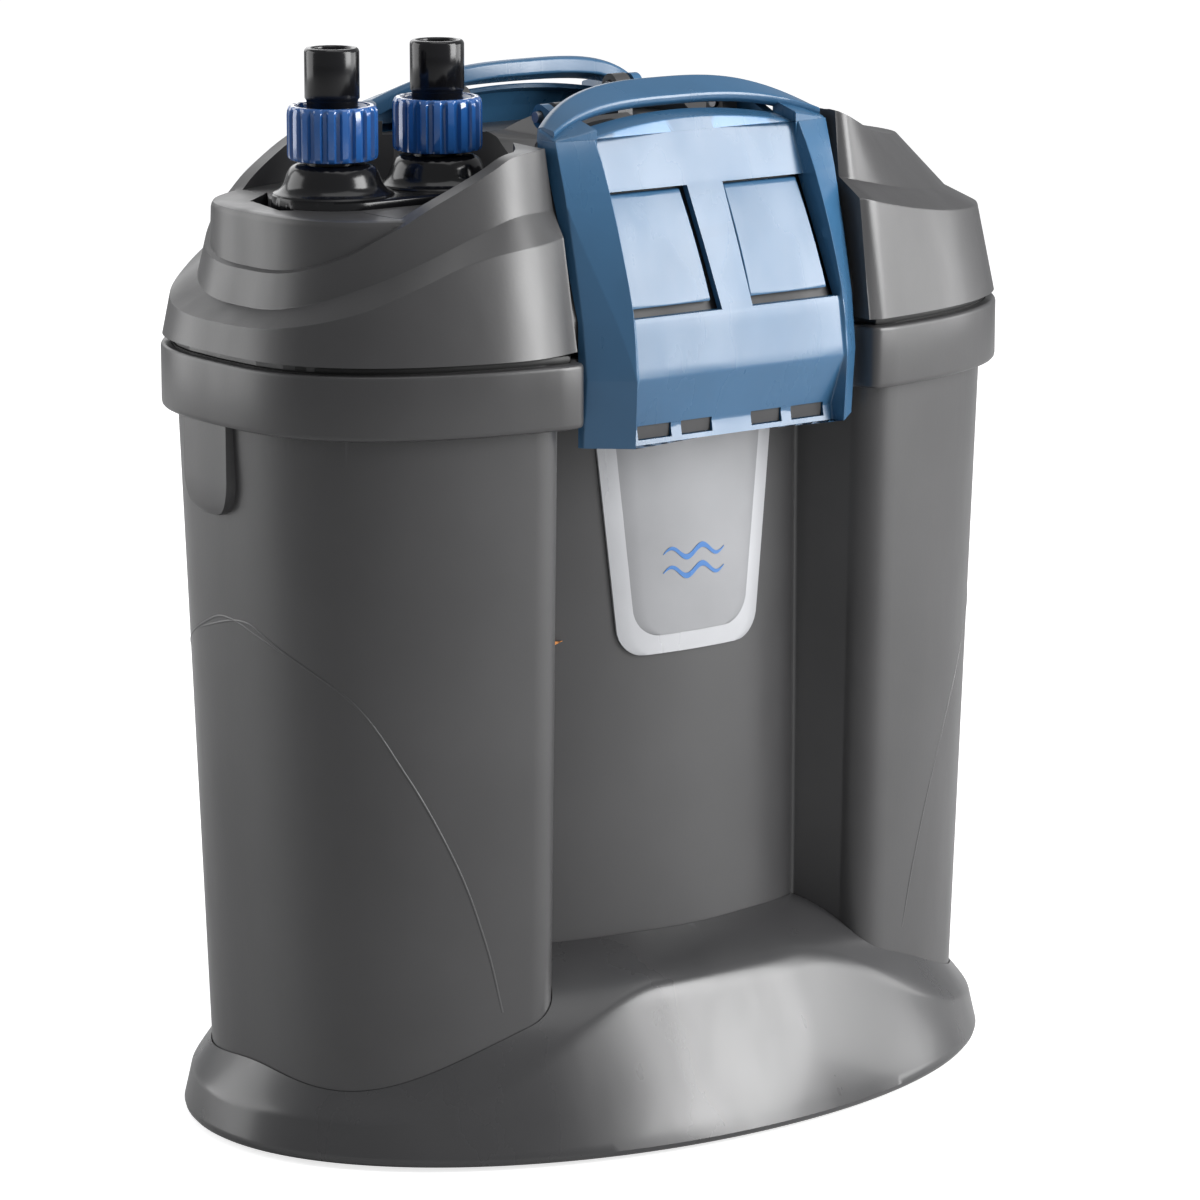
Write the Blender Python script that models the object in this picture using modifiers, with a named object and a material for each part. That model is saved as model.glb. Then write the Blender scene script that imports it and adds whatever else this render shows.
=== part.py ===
"""Oval canister water filter: canister in a flared foot, pump head, two clamps and hose unit.

Lengths in this script are millimetres; every mesh is scaled to metres when it is made.
The origin is the middle of the underside, +X runs along the long axis, the hose unit is at
-X, one clamp faces -Y and the other +Y, and +Z is up.
"""
import math

import bmesh
import bpy
from mathutils import Matrix, Vector

MM = 0.001
GAP = 0.3
TAU = 2 * math.pi

# Plan shape of the collar, the rest of the body is inset from it.
COLLAR_A = 148.5
COLLAR_B = 79.0
OVAL_POWER = 2.95
OVAL_STEPS = 76

# Heights of the main levels.
CANISTER_FLOOR = 9.0
COLLAR_BOTTOM = 235.2
COLLAR_TOP = 255.7
LID_BOTTOM = 258.3
TURRET_TOP = 301.5
SADDLE_TOP = 330.2

# Canister below the collar: half lengths at its top and at its foot.
BODY_TOP_A = 143.9
BODY_TOP_B = 73.6
BODY_FOOT_A = 135.0
BODY_FOOT_B = 69.6
WALL = 3.0

# Recess in the middle of both long sides.
RECESS_WALL_Y = 54.5
RECESS_CORNER = (52.0, 44.0)
LOBE_CORNER = (61.0, 62.0)
LOBE_START_X = 74.0
COLLAR_NOTCH_X = 57.4
COLLAR_NOTCH_Y = 66.5

# Foot.
FOOT_A = 149.1
FOOT_B = 100.7
FOOT_UNDERSIDE = 1.2
BULGE_Z = 10.0
FOOT_LIP = 1.6

# Clamps: outer face as (y, z, half width), from the lower edge up.
CLAMP_FACE = (
    (-79.2, 227.4, 41.4),
    (-81.1, 249.1, 42.2),
    (-78.4, 266.8, 41.8),
    (-69.6, 287.0, 40.2),
    (-60.2, 307.0, 38.1),
    (-54.5, 322.4, 39.0),
)
CLAMP_EDGE_X = 55.0
CLAMP_EDGE_Y = (-69.0, -70.8, -68.8, -64.2, -59.4, -54.6)
CLAMP_FLANGE_Y = (-67.2, -67.2, -67.2, -60.6, -53.6, -48.0)
CLAMP_SHEET = 2.6
PIVOT_Y = -28.0
PIVOT_Z = 327.0
PIN_RADIUS = 1.8
SADDLE_HALF_Y = 14.5

# Hose unit.
HOSE_AXES_X = (-101.7, -61.0)
SPIGOT_TOP = 350.6
SPIGOT_RADIUS = 8.7
SPIGOT_BORE = 6.2
NUT_RADIUS = 14.4
NUT_BOTTOM = 315.2
NUT_TOP = 332.6

PORT_RADIUS = 12.6

# Lid details.
TURRET_X = -84.5
GLAND_X = 96.0
GLAND_Z = 274.0

# Pump.
PUMP_X = 66.0
HEAD_PLATE_BOTTOM = 246.0
HEAD_FLANGE_BOTTOM = 256.2
HEAD_FLANGE_TOP = 258.0
PIPE_RADIUS = 8.6
DUCT_Z = 266.2

# Baskets.
BASKET_HEIGHT = 70.0


# ---------------------------------------------------------------- scene and helpers


def clear_scene():
    for obj in list(bpy.data.objects):
        bpy.data.objects.remove(obj, do_unlink=True)
    for collection in list(bpy.data.collections):
        bpy.data.collections.remove(collection)


def new_collection(name):
    collection = bpy.data.collections.new(name)
    bpy.context.scene.collection.children.link(collection)
    return collection


clear_scene()
PARTS = new_collection("canister_filter")
CUTTERS = new_collection("cutters")
CUTTERS.hide_render = True


def principled(name, colour, roughness, metallic=0.0):
    material = bpy.data.materials.new(name)
    material.use_nodes = True
    shader = material.node_tree.nodes["Principled BSDF"]
    shader.inputs["Base Color"].default_value = (*colour, 1.0)
    shader.inputs["Roughness"].default_value = roughness
    shader.inputs["Metallic"].default_value = metallic
    return material


HOUSING = principled("housing_grey", (0.085, 0.085, 0.09), 0.42)
FOOT = principled("foot_grey", (0.06, 0.06, 0.065), 0.28)
BLUE = principled("clamp_blue", (0.03, 0.12, 0.30), 0.35)
NUT_BLUE = principled("nut_blue", (0.02, 0.09, 0.30), 0.2)
BLACK = principled("gloss_black", (0.012, 0.012, 0.013), 0.2)
SILVER = principled("badge_silver", (0.75, 0.76, 0.78), 0.3)
PALE_GREY = principled("badge_grey", (0.52, 0.53, 0.55), 0.4)
RUBBER = principled("seal_rubber", (0.03, 0.03, 0.03), 0.7)
STEEL = principled("stainless", (0.6, 0.6, 0.62), 0.25, 1.0)
CERAMIC = principled("ceramic", (0.85, 0.85, 0.82), 0.3)
MAGNET = principled("ferrite", (0.05, 0.05, 0.055), 0.5)
WHITE = principled("impeller_white", (0.7, 0.7, 0.7), 0.4)
TRAY = principled("tray_grey", (0.35, 0.37, 0.4), 0.45)
BLUE_FOAM = principled("coarse_foam", (0.05, 0.17, 0.4), 0.95)
ORANGE_FOAM = principled("fine_foam", (0.6, 0.22, 0.05), 0.95)
MEDIA = principled("bio_media", (0.55, 0.42, 0.33), 0.95)


def finish(name, bm, material, collection=None):
    """Turns a bmesh in millimetres into an object in metres."""
    bm.normal_update()
    bmesh.ops.triangulate(bm, faces=bm.faces, ngon_method="EAR_CLIP")
    bmesh.ops.recalc_face_normals(bm, faces=bm.faces)
    bmesh.ops.scale(bm, vec=(MM, MM, MM), verts=bm.verts)
    mesh = bpy.data.meshes.new(name)
    bm.to_mesh(mesh)
    bm.free()
    if material:
        mesh.materials.append(material)
    mesh.shade_smooth()
    mesh.set_sharp_from_angle(angle=math.radians(32))
    obj = bpy.data.objects.new(name, mesh)
    if collection is CUTTERS:
        obj.hide_render = True
        obj.display_type = "WIRE"
    (collection or PARTS).objects.link(obj)
    return obj


def boolean(obj, other, operation="DIFFERENCE"):
    modifier = obj.modifiers.new(operation.lower(), "BOOLEAN")
    modifier.operation = operation
    modifier.solver = "EXACT"
    modifier.object = other


def is_even(row):
    """Whether the ring is its own mirror image in the XZ plane, starting on that plane."""
    pairs = zip(row, [row[0]] + row[:0:-1])
    return all((v.co - Vector((w.co.x, -w.co.y, w.co.z))).length < 1e-5 for v, w in pairs)


def cap(bm, row):
    """Closes the end of a loft: strips from side to side, a fan, or one small face."""
    count = len(row)
    if count > 8 and is_even(row):
        bm.faces.new((row[0], row[1], row[-1]))
        for i in range(1, (count - 1) // 2):
            bm.faces.new((row[i], row[i + 1], row[count - i - 1], row[count - i]))
        if count % 2 == 0:
            bm.faces.new((row[count // 2 - 1], row[count // 2], row[count // 2 + 1]))
    elif count > 24:
        hub = bm.verts.new(sum((v.co for v in row), Vector()) / count)
        for i in range(count):
            bm.faces.new((row[i], row[(i + 1) % count], hub))
    else:
        bm.faces.new(row)


def loft_mesh(rings):
    """A closed bmesh through rings of equally many points."""
    bm = bmesh.new()
    rows = [[bm.verts.new(point) for point in ring] for ring in rings]
    count = len(rows[0])
    for lower, upper in zip(rows, rows[1:]):
        for i in range(count):
            j = (i + 1) % count
            bm.faces.new((lower[i], lower[j], upper[j], upper[i]))
    for row in (rows[0], rows[-1]):
        cap(bm, row)
    return bm


def loft(name, rings, material=None, collection=None):
    return finish(name, loft_mesh(rings), material, collection)


def at_height(outline, z):
    return [(x, y, z) for x, y in outline]


def prism(name, outline, z0, z1, material=None, collection=None):
    return loft(name, [at_height(outline, z0), at_height(outline, z1)], material, collection)


def box(name, low, high, material=None, collection=None):
    bm = bmesh.new()
    bmesh.ops.create_cube(bm, size=1.0)
    size = [b - a for a, b in zip(low, high)]
    middle = [(a + b) / 2 for a, b in zip(low, high)]
    bmesh.ops.scale(bm, vec=size, verts=bm.verts)
    bmesh.ops.translate(bm, vec=middle, verts=bm.verts)
    return finish(name, bm, material, collection)


def cylinder(name, centre, radius, z0, z1, material=None, collection=None, axis="Z", steps=24):
    """A round rod; along X or Y, z0 and z1 are distances along that axis."""
    bm = bmesh.new()
    bmesh.ops.create_cone(
        bm, cap_ends=True, segments=steps, radius1=radius, radius2=radius, depth=z1 - z0
    )
    bmesh.ops.translate(bm, vec=(0, 0, (z0 + z1) / 2), verts=bm.verts)
    if axis == "X":
        bmesh.ops.rotate(bm, matrix=Matrix.Rotation(math.pi / 2, 3, "Y"), verts=bm.verts)
    if axis == "Y":
        bmesh.ops.rotate(bm, matrix=Matrix.Rotation(-math.pi / 2, 3, "X"), verts=bm.verts)
    bmesh.ops.translate(bm, vec=centre, verts=bm.verts)
    return finish(name, bm, material, collection)


def turned(name, profile, centre, material, steps=32, collection=None):
    """A closed (radius, height) profile turned about a vertical axis through centre."""
    bm = bmesh.new()
    verts = [bm.verts.new((r * MM, 0, z * MM)) for r, z in profile]
    for a, b in zip(verts, verts[1:] + verts[:1]):
        if a.co.x > 1e-9 or b.co.x > 1e-9:
            bm.edges.new((a, b))
    mesh = bpy.data.meshes.new(name)
    bm.to_mesh(mesh)
    bm.free()
    mesh.materials.append(material)
    obj = bpy.data.objects.new(name, mesh)
    (collection or PARTS).objects.link(obj)
    if collection is CUTTERS:
        obj.hide_render = True
        obj.display_type = "WIRE"
    obj.location = Vector(centre) * MM
    screw = obj.modifiers.new("turn", "SCREW")
    screw.steps = steps
    screw.render_steps = steps
    screw.use_merge_vertices = True
    screw.merge_threshold = 0.00001
    screw.use_smooth_shade = True
    return obj


# ---------------------------------------------------------------- plan outlines


def oval_y(x, a, b, power=OVAL_POWER):
    """Distance from the long axis to the oval at x."""
    return b * max(0.0, 1 - abs(x / a) ** power) ** (1 / power)


def oval(a, b, power=OVAL_POWER, steps=OVAL_STEPS):
    points = []
    for i in range(steps):
        t = TAU * i / steps
        c, s = math.cos(t), math.sin(t)
        x = a * math.copysign(abs(c) ** (2 / power), c)
        y = b * math.copysign(abs(s) ** (2 / power), s)
        points.append((x, y))
    return points


def mirrored_outline(quarter):
    """The closed outline of a quarter that runs from +X round to +Y."""
    half = quarter if quarter[-1][0] > 0 else quarter[:-1]
    left = [(-x, y) for x, y in reversed(half)]
    upper = quarter + left
    lower = [(x, -y) for x, y in reversed(upper[1:-1])]
    return upper + lower


def lobed_outline(a, b):
    """The canister's outline: two lobes, with the recess between them on both long sides."""
    quarter = []
    end_steps = 9
    start_y = oval_y(LOBE_START_X, a, b)
    end_angle = math.acos((LOBE_START_X / a) ** (OVAL_POWER / 2))
    for i in range(end_steps + 1):
        t = end_angle * i / end_steps
        x = a * math.cos(t) ** (2 / OVAL_POWER)
        quarter.append((x, oval_y(x, a, b)))
    shift = start_y - oval_y(LOBE_START_X, BODY_TOP_A, BODY_TOP_B)
    corner = Vector((LOBE_CORNER[0], LOBE_CORNER[1] + shift))
    start = Vector((LOBE_START_X, start_y))
    bend = Vector((LOBE_CORNER[0] + 3.0, start_y + 1.5))
    for i in range(1, 5):
        t = i / 4
        quarter.append(tuple(start * (1 - t) ** 2 + bend * 2 * t * (1 - t) + corner * t * t))
    inner = Vector(RECESS_CORNER)
    quarter.append(tuple(corner.lerp(inner, 0.85)))
    sag = RECESS_WALL_Y - inner.y
    radius = (inner.x**2 + sag**2) / (2 * sag)
    wall_steps = 4
    for i in range(wall_steps + 1):
        x = inner.x * 0.97 * (1 - i / wall_steps)
        quarter.append((x, RECESS_WALL_Y - radius + math.sqrt(radius**2 - x**2)))
    return mirrored_outline(quarter)


def notched_oval(a, b, notch_x, notch_y, corner=9.0):
    """An oval whose middle is cut back to notch_y on both long sides, with rounded shoulders."""
    quarter = []
    steps = 12
    end_angle = math.acos(((notch_x + corner) / a) ** (OVAL_POWER / 2))
    for i in range(steps + 1):
        t = end_angle * i / steps
        x = a * math.cos(t) ** (2 / OVAL_POWER)
        quarter.append((x, oval_y(x, a, b)))
    top = oval_y(notch_x + corner, a, b)
    quarter.append((notch_x + 0.5 * corner, top - 0.9))
    quarter.append((notch_x + 0.15 * corner, top - 3.2))
    quarter.append((notch_x, top - 6.0))
    quarter.append((notch_x - 0.5, notch_y))
    return mirrored_outline(quarter)


def offset(outline, distance):
    """The outline moved inwards by distance (outwards when negative)."""
    count = len(outline)
    points = [Vector(p) for p in outline]
    moved = []
    for i in range(count):
        before = (points[i] - points[i - 1]).normalized()
        after = (points[(i + 1) % count] - points[i]).normalized()
        normal = Vector((-(before + after).y, (before + after).x)).normalized()
        spread = max(0.5, normal.dot(Vector((-before.y, before.x))))
        moved.append(tuple(points[i] + normal * distance / spread))
    return moved


def smooth(t):
    t = min(1.0, max(0.0, t))
    return t * t * (3 - 2 * t)


# ---------------------------------------------------------------- canister


def body_size(z):
    share = (z - CANISTER_FLOOR) / (COLLAR_BOTTOM - CANISTER_FLOOR)
    a = BODY_FOOT_A + (BODY_TOP_A - BODY_FOOT_A) * share
    b = BODY_FOOT_B + (BODY_TOP_B - BODY_FOOT_B) * share
    return a, b


def body_ring(z, inset=0.0):
    outline = lobed_outline(*body_size(z))
    return at_height(offset(outline, inset) if inset else outline, z)


def lug_outline(side):
    """Rib under the collar at one end; the other end has the same rib turned half round."""
    a, b = BODY_TOP_A + 2.4, BODY_TOP_B + 2.4
    points = [(-134.0, -9.0), (-134.0, 27.0)]
    for y in (22.0, 16.0, 9.0, 2.0, -4.0):
        points.append((-a * (1 - abs(y / b) ** OVAL_POWER) ** (1 / OVAL_POWER), y))
    return [(x * side, y * side) for x, y in points]


def make_container():
    body = loft("container", [body_ring(CANISTER_FLOOR), body_ring(COLLAR_BOTTOM + 2)], HOUSING)
    collar = prism(
        "cut_collar",
        notched_oval(COLLAR_A, COLLAR_B, COLLAR_NOTCH_X, COLLAR_NOTCH_Y),
        COLLAR_BOTTOM,
        COLLAR_TOP,
        None,
        CUTTERS,
    )
    boolean(body, collar, "UNION")
    for side in (1, -1):
        lug = prism(f"cut_lug_{side}", lug_outline(side), 206.0, COLLAR_BOTTOM + 1, None, CUTTERS)
        boolean(body, lug, "UNION")
    cavity_rings = [body_ring(z, WALL) for z in (CANISTER_FLOOR + WALL, COLLAR_TOP + 3)]
    cavity = loft("cut_canister_cavity", cavity_rings, None, CUTTERS)
    boolean(body, cavity)
    groove = prism("cut_seal_seat", offset(lobed_outline(*body_size(COLLAR_TOP)), -1.4),
                   COLLAR_TOP - 3.5, COLLAR_TOP + 3, None, CUTTERS)
    boolean(body, groove)
    return body


# ---------------------------------------------------------------- foot


def foot_top_height(x):
    """Height of the foot's upper edge, high across the recess and low round both lobes."""
    return 25.5 + 36.0 * (1 - smooth((abs(x) - 46.0) / 66.0))


def foot_lip(clear=GAP + FOOT_LIP):
    """The foot's upper edge at a distance from the canister, as (x, y, z)."""
    lip = []
    for i, (x, _) in enumerate(lobed_outline(*body_size(40.0))):
        top = foot_top_height(x)
        outline = offset(lobed_outline(*body_size(top)), -clear)
        lip.append((*outline[i], top))
    return lip


def foot_reach(x, y):
    """The point of the foot's widest line that lies outwards of a point of its lip."""
    a, b = FOOT_A + 1.2, FOOT_B + 1.2
    corner = LOBE_CORNER[0]
    straight = math.acos(min(abs(x), corner) * 1.03 / a)
    radial = math.atan2(abs(y) / FOOT_B, abs(x) / FOOT_A)
    share = smooth((abs(x) - corner) / 30.0)
    angle = straight + (radial - straight) * share
    return Vector((math.copysign(a * math.cos(angle), x), math.copysign(b * math.sin(angle), y)))


def foot_ring(share):
    """Ring of the foot's outside; share 0 is the upper edge, 1 the widest line."""
    ring = []
    for x, y, top in foot_lip():
        outer = foot_reach(x, y)
        turn = share * math.pi / 2
        flat = Vector((x, y)).lerp(outer, math.sin(turn) ** 1.15)
        ring.append((flat.x, flat.y, BULGE_Z + (top - BULGE_Z) * math.cos(turn) ** 0.9))
    return ring


def foot_lower_ring(shrink, z):
    ring = []
    for x, y, _ in foot_ring(1.0):
        grow = 1 - shrink / math.hypot(x, y)
        ring.append((x * grow, y * grow, z))
    return ring


def make_base():
    outer = [foot_lower_ring(3.6, FOOT_UNDERSIDE), foot_lower_ring(1.2, 3.4)]
    outer += [foot_ring(s) for s in (1.0, 0.8, 0.6, 0.4, 0.2, 0.0)]
    outer.append(foot_lip(GAP))
    floor = CANISTER_FLOOR - GAP
    outer.append(at_height(offset(lobed_outline(*body_size(floor)), -GAP), floor))
    base = loft("base", outer, FOOT)
    hollow = prism(
        "cut_underside",
        oval(FOOT_A - 9.0, FOOT_B - 9.0, 2.1, 40),
        -1.0,
        CANISTER_FLOOR - GAP - 3.0,
        None,
        CUTTERS,
    )
    boolean(base, hollow)
    for i, (x, y) in enumerate(FEET):
        boss = cylinder(f"cut_boss_{i}", (x, y, 0), 9.5, 2.6, 7.0, None, CUTTERS, steps=20)
        boolean(base, boss, "UNION")
    return base


FEET = [(x, y) for x in (-88.0, 88.0) for y in (-52.0, 52.0)]


def make_feet():
    for i, (x, y) in enumerate(FEET):
        profile = [(0, 2.3), (8.0, 2.3), (8.0, 0.8), (7.2, 0.0), (0, 0.0)]
        turned(f"rubber_foot_{i + 1}", profile, (x, y, 0), RUBBER, 16)


# ---------------------------------------------------------------- badge


def badge_half_width(z, inset):
    top, bottom = 230.0, 152.0
    share = (z - bottom) / (top - bottom)
    corner = max(0.0, 9.0 - (z - bottom - inset))
    rounding = 10.0 * (corner / 9.0) ** 2.2 if corner > 0 else 0.0
    return 29.0 + 8.6 * share - inset - rounding


def badge_sheet(name, inset, front, back, material):
    """A thin plate that follows the curve of the recess wall."""
    sag = RECESS_WALL_Y - RECESS_CORNER[1]
    radius = (RECESS_CORNER[0] ** 2 + sag**2) / (2 * sag)
    levels = [152.0 + inset + t for t in (0.0, 1.2, 3.4, 8.0, 45.0)]
    levels.append(230.0 - inset)
    columns = 6
    rings = []
    for z in levels:
        half = badge_half_width(z, inset)
        ring = []
        for k in range(columns + 1):
            x = half * (2 * k / columns - 1)
            ring.append((x, -(RECESS_WALL_Y - radius + math.sqrt(radius**2 - x**2) + front), z))
        for k in range(columns + 1):
            x = half * (1 - 2 * k / columns)
            ring.append((x, -(RECESS_WALL_Y - radius + math.sqrt(radius**2 - x**2) + back), z))
        rings.append(ring)
    return loft(name, rings, material)


def make_badge():
    badge_sheet("badge_plate", 0.0, 1.4, 0.4, SILVER)
    badge_sheet("badge_panel", 6.2, 2.1, 1.7, PALE_GREY)


# ---------------------------------------------------------------- lid


def along(x):
    """0 beside the clamps, 1 at the far end of the lid."""
    return min(1.0, max(0.0, (abs(x) - COLLAR_NOTCH_X) / (COLLAR_A - COLLAR_NOTCH_X)))


def between(x, table):
    """Value at |x| in a table of (distance from the middle, value) rows."""
    x = abs(x)
    for (x0, v0), (x1, v1) in zip(table, table[1:]):
        if x <= x1:
            return v0 + (v1 - v0) * max(0.0, x - x0) / (x1 - x0)
    return table[-1][1]


# Heights of the lid's three edges on the hose side, by distance from the middle.
SKIRT_EDGE = ((57.4, 293.6), (80.0, 291.5), (90.0, 290.0), (99.0, 287.2), (107.0, 283.8),
              (117.0, 279.3), (125.0, 275.7), (135.0, 272.0), (141.0, 269.8), (148.0, 266.8))
LEDGE_EDGE = ((57.4, 301.5), (75.0, 301.3), (89.0, 296.4), (102.0, 290.5), (114.0, 284.8),
              (125.0, 279.6), (134.5, 274.4), (138.0, 271.8))
TIER_EDGE = ((57.4, 320.5), (72.0, 319.5), (81.0, 315.6), (91.0, 310.6), (101.0, 305.3),
             (108.0, 300.8), (116.0, 296.0), (122.5, 291.4), (129.5, 287.0), (136.0, 283.0))


def skirt_top(x):
    u = along(x)
    return between(x, SKIRT_EDGE) if x < 0 else 297.5 - 24 * u + 14 * u * u


def ledge_top(x):
    u = along(x)
    return between(x, LEDGE_EDGE) if x < 0 else 303.5 - 24 * u + 13 * u * u


def tier_top(x):
    u = along(x)
    return between(x, TIER_EDGE) if x < 0 else 325.0 - 42 * u + 30 * u * u


def skirt_inset(x):
    return 0.5 + 0.2 * (skirt_top(x) - LID_BOTTOM) if x < 0 else 6.0


def ledge_inset(x):
    return 13.0 - 2.0 * along(x) if x < 0 else 16.0


def tier_inset(x):
    return 17.0 - 4.0 * along(x) ** 1.5 if x < 0 else 18.5 + 13.0 * smooth((x - 62.0) / 60.0)


def drum_top(height):
    """Height rule of the rings above the second tier: they never fall below height."""
    return lambda x: max(tier_top(x), height) if x < 0 else tier_top(x)


def saddle_top(x):
    """Roof between the clamps, and the fade to the flat top of the drum."""
    roof = drum_top(TURRET_TOP - 0.15)(x) + 0.6 * (smooth((x + 100.0) / 20.0) if x < 0 else 1.0)
    return max(roof, SADDLE_TOP - 5.2 * (x / 30.0) ** 2)


def shoulder(x):
    """How far the plan is rounded back beside the clamps."""
    t = min(1.0, max(0.0, (abs(x) - COLLAR_NOTCH_X) / 9.0))
    return 8.0 * (1 - t) ** 2


def lid_ring(inset, height, sink=0.0):
    ring = []
    for x, y in oval(COLLAR_A, COLLAR_B):
        depth = (inset(x) if callable(inset) else inset) + sink
        scale_x = (COLLAR_A - depth) / COLLAR_A
        scale_y = (COLLAR_B - depth) / COLLAR_B
        px, py = x * scale_x, y * scale_y
        py -= math.copysign(min(abs(py), shoulder(px)), py)
        ring.append((px, py, height(px) - sink if callable(height) else height))
    return ring


def lid_rings(sink=0.0, bottom=LID_BOTTOM):
    """Rings of the lid's outside, or of a copy of it that lies sink inside."""
    rings = [lid_ring(0.5 + sink, bottom)]
    edges = [(skirt_inset, skirt_top), (ledge_inset, ledge_top), (tier_inset, tier_top)]
    for extra, height in ((1.2, 299.4), (1.9, 300.8), (3.6, TURRET_TOP - 0.15)):
        edges.append((lambda x, extra=extra: tier_inset(x) + extra, drum_top(height)))
    rings += [lid_ring(inset, height, sink) for inset, height in edges]
    rings.append([(x, y * 0.55, saddle_top(x) - sink) for x, y, z in rings[-1]])
    return rings


def recess_profile(clear=0.0):
    """(y, z) outline of what the clamp needs in the lid, on the -Y side."""
    return [
        (-90.0, 246.0),
        (-COLLAR_NOTCH_Y + clear, 246.0),
        (-COLLAR_NOTCH_Y + clear, 268.0 - clear),
        (-53.0 + clear, 306.0 - clear),
        (-45.0 + clear, 316.0 - clear),
        (-SADDLE_HALF_Y + clear, 317.5 - clear),
        (-SADDLE_HALF_Y + clear, 345.0),
        (-90.0, 345.0),
    ]


def recess_cutter(name, side, clear=0.0, half=COLLAR_NOTCH_X):
    bm = bmesh.new()
    ends = []
    for x in (-half - clear, half + clear):
        ends.append([bm.verts.new((x, -side * y, z)) for y, z in recess_profile(clear)])
    count = len(ends[0])
    for i in range(count):
        j = (i + 1) % count
        bm.faces.new((ends[0][i], ends[0][j], ends[1][j], ends[1][i]))
    bm.faces.new(ends[0])
    bm.faces.new(ends[1][::-1])
    return finish(name, bm, None, CUTTERS)


def gully_outline():
    """Round the hose unit: inside the flanks, and a tighter arc at the scoop."""
    arc = []
    for i in range(17):
        t = math.radians(-80 + 160 * i / 16)
        arc.append((HOSE_AXES_X[1] + 33.0 * math.cos(t), 33.0 * math.sin(t)))
    flank = []
    for x, y, _ in lid_ring(lambda x: tier_inset(x) + 4.6, 0.0):
        if -129.0 < x < -67.0 and y > 0:
            flank.append((x, y))
    flank.sort(reverse=True)
    upper = [(-64.0, 46.0)] + flank
    return arc + upper + [(x, -y) for x, y in reversed(upper)]


def make_lid():
    lid = loft("lid", lid_rings(), HOUSING)
    gully = prism("cut_gully", gully_outline(), TURRET_TOP, 350.0, None, CUTTERS)
    cavity = loft("cut_lid_cavity", lid_rings(WALL, 252.0), None, CUTTERS)
    for side in (1, -1):
        boolean(cavity, recess_cutter(f"cut_recess_wall_{side}", side, WALL))
    floor = box("cut_turret_floor", (-135, -60, 278.0), (-24, 60, 400), None, CUTTERS)
    boolean(cavity, floor)
    for side in (1, -1):
        boolean(lid, recess_cutter(f"cut_recess_{side}", side))
    for cutter in (gully, cavity):
        boolean(lid, cutter)
    for side in (1, -1):
        for x in (-33.0, 33.0):
            boolean(lid, hinge_boss(side, x), "UNION")
    for side in (1, -1):
        bore = cylinder(f"cut_pin_bore_{side}", (0, side * PIVOT_Y, PIVOT_Z), PIN_RADIUS + GAP,
                        -60, 60, None, CUTTERS, "X", 16)
        boolean(lid, bore)
    pocket = prism("cut_unit_pocket", unit_outline(0.35), 292.0, 330.0, None, CUTTERS)
    boolean(lid, pocket)
    for i, x in enumerate(HOSE_AXES_X):
        hole = [(0, 300.0), (PORT_RADIUS, 300.0), (PORT_RADIUS, 270.0), (0, 270.0)]
        boolean(lid, turned(f"cut_port_{i}", hole, (x, 0, 0), BLACK, 28, CUTTERS))
    gland_hole = cylinder("cut_gland_hole", (GLAND_X, 0, GLAND_Z), 5.3, 50.0, 90.0, None,
                          CUTTERS, "Y", 20)
    boolean(lid, gland_hole)
    return lid


def hinge_boss(side, x):
    """Ear that carries a clamp's pin, standing on the saddle."""
    bm = bmesh.new()
    outline = [(-5.0, -12.5), (5.0, -12.5)]
    for i in range(9):
        t = math.pi * i / 8
        outline.append((4.2 * math.cos(t), 4.2 * math.sin(t)))
    ends = []
    for dx in (-3.0, 3.0):
        ends.append([bm.verts.new((x + dx, side * PIVOT_Y + y, PIVOT_Z + z)) for y, z in outline])
    count = len(outline)
    for i in range(count):
        j = (i + 1) % count
        bm.faces.new((ends[0][i], ends[0][j], ends[1][j], ends[1][i]))
    bm.faces.new(ends[0])
    bm.faces.new(ends[1][::-1])
    return finish(f"cut_boss_{side}_{int(x)}", bm, None, CUTTERS)


# ---------------------------------------------------------------- clamps


def clamp_section(level):
    """Closed plan section of a clamp's shell at one level: outer side, then inner side."""
    y, z, half = CLAMP_FACE[level]
    edge_y = CLAMP_EDGE_Y[level]
    end_y = CLAMP_FLANGE_Y[level]
    outer = [
        (half * 0.5, y),
        (half - 1.0, y),
        (half + 0.6, y + 0.8),
        (CLAMP_EDGE_X - 0.7, edge_y - 0.5),
        (CLAMP_EDGE_X + 0.6, edge_y + 1.2),
        (CLAMP_EDGE_X + 0.6, end_y),
    ]
    inner = [
        (CLAMP_EDGE_X - 2.0, end_y),
        (CLAMP_EDGE_X - 2.2, edge_y + 1.3),
        (half - 0.9, y + CLAMP_SHEET + 0.3),
        (half - 2.4, y + CLAMP_SHEET),
    ]
    path = [(-x, v) for x, v in reversed(outer)] + outer
    path += inner + [(-x, v) for x, v in reversed(inner)]
    return at_height(path, z)


def clamp_sheet(name):
    return loft(name, [clamp_section(level) for level in range(len(CLAMP_FACE))], BLUE)


def arch_solid(name):
    """The finger grip: a thick band that rises from both cheeks and leans back."""
    rings = []
    steps = 16
    for i in range(steps + 1):
        u = 2 * i / steps - 1
        x, bend = 54.0 * u, abs(u) ** 3
        back_y, back_z = -36.0 - 11.0 * bend, 337.8 - 11.3 * bend
        front_y, front_z = -45.0 - 8.0 * bend, 332.8 - 7.3 * bend
        rings.append([
            (x, front_y + 1.8, front_z - 1.8),
            (x, front_y, front_z),
            (x, back_y, back_z),
            (x, back_y + 3.0, back_z - 0.6),
            (x, back_y + 3.4, back_z - 5.4),
        ])
    return loft(name, rings, None, CUTTERS)


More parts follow.
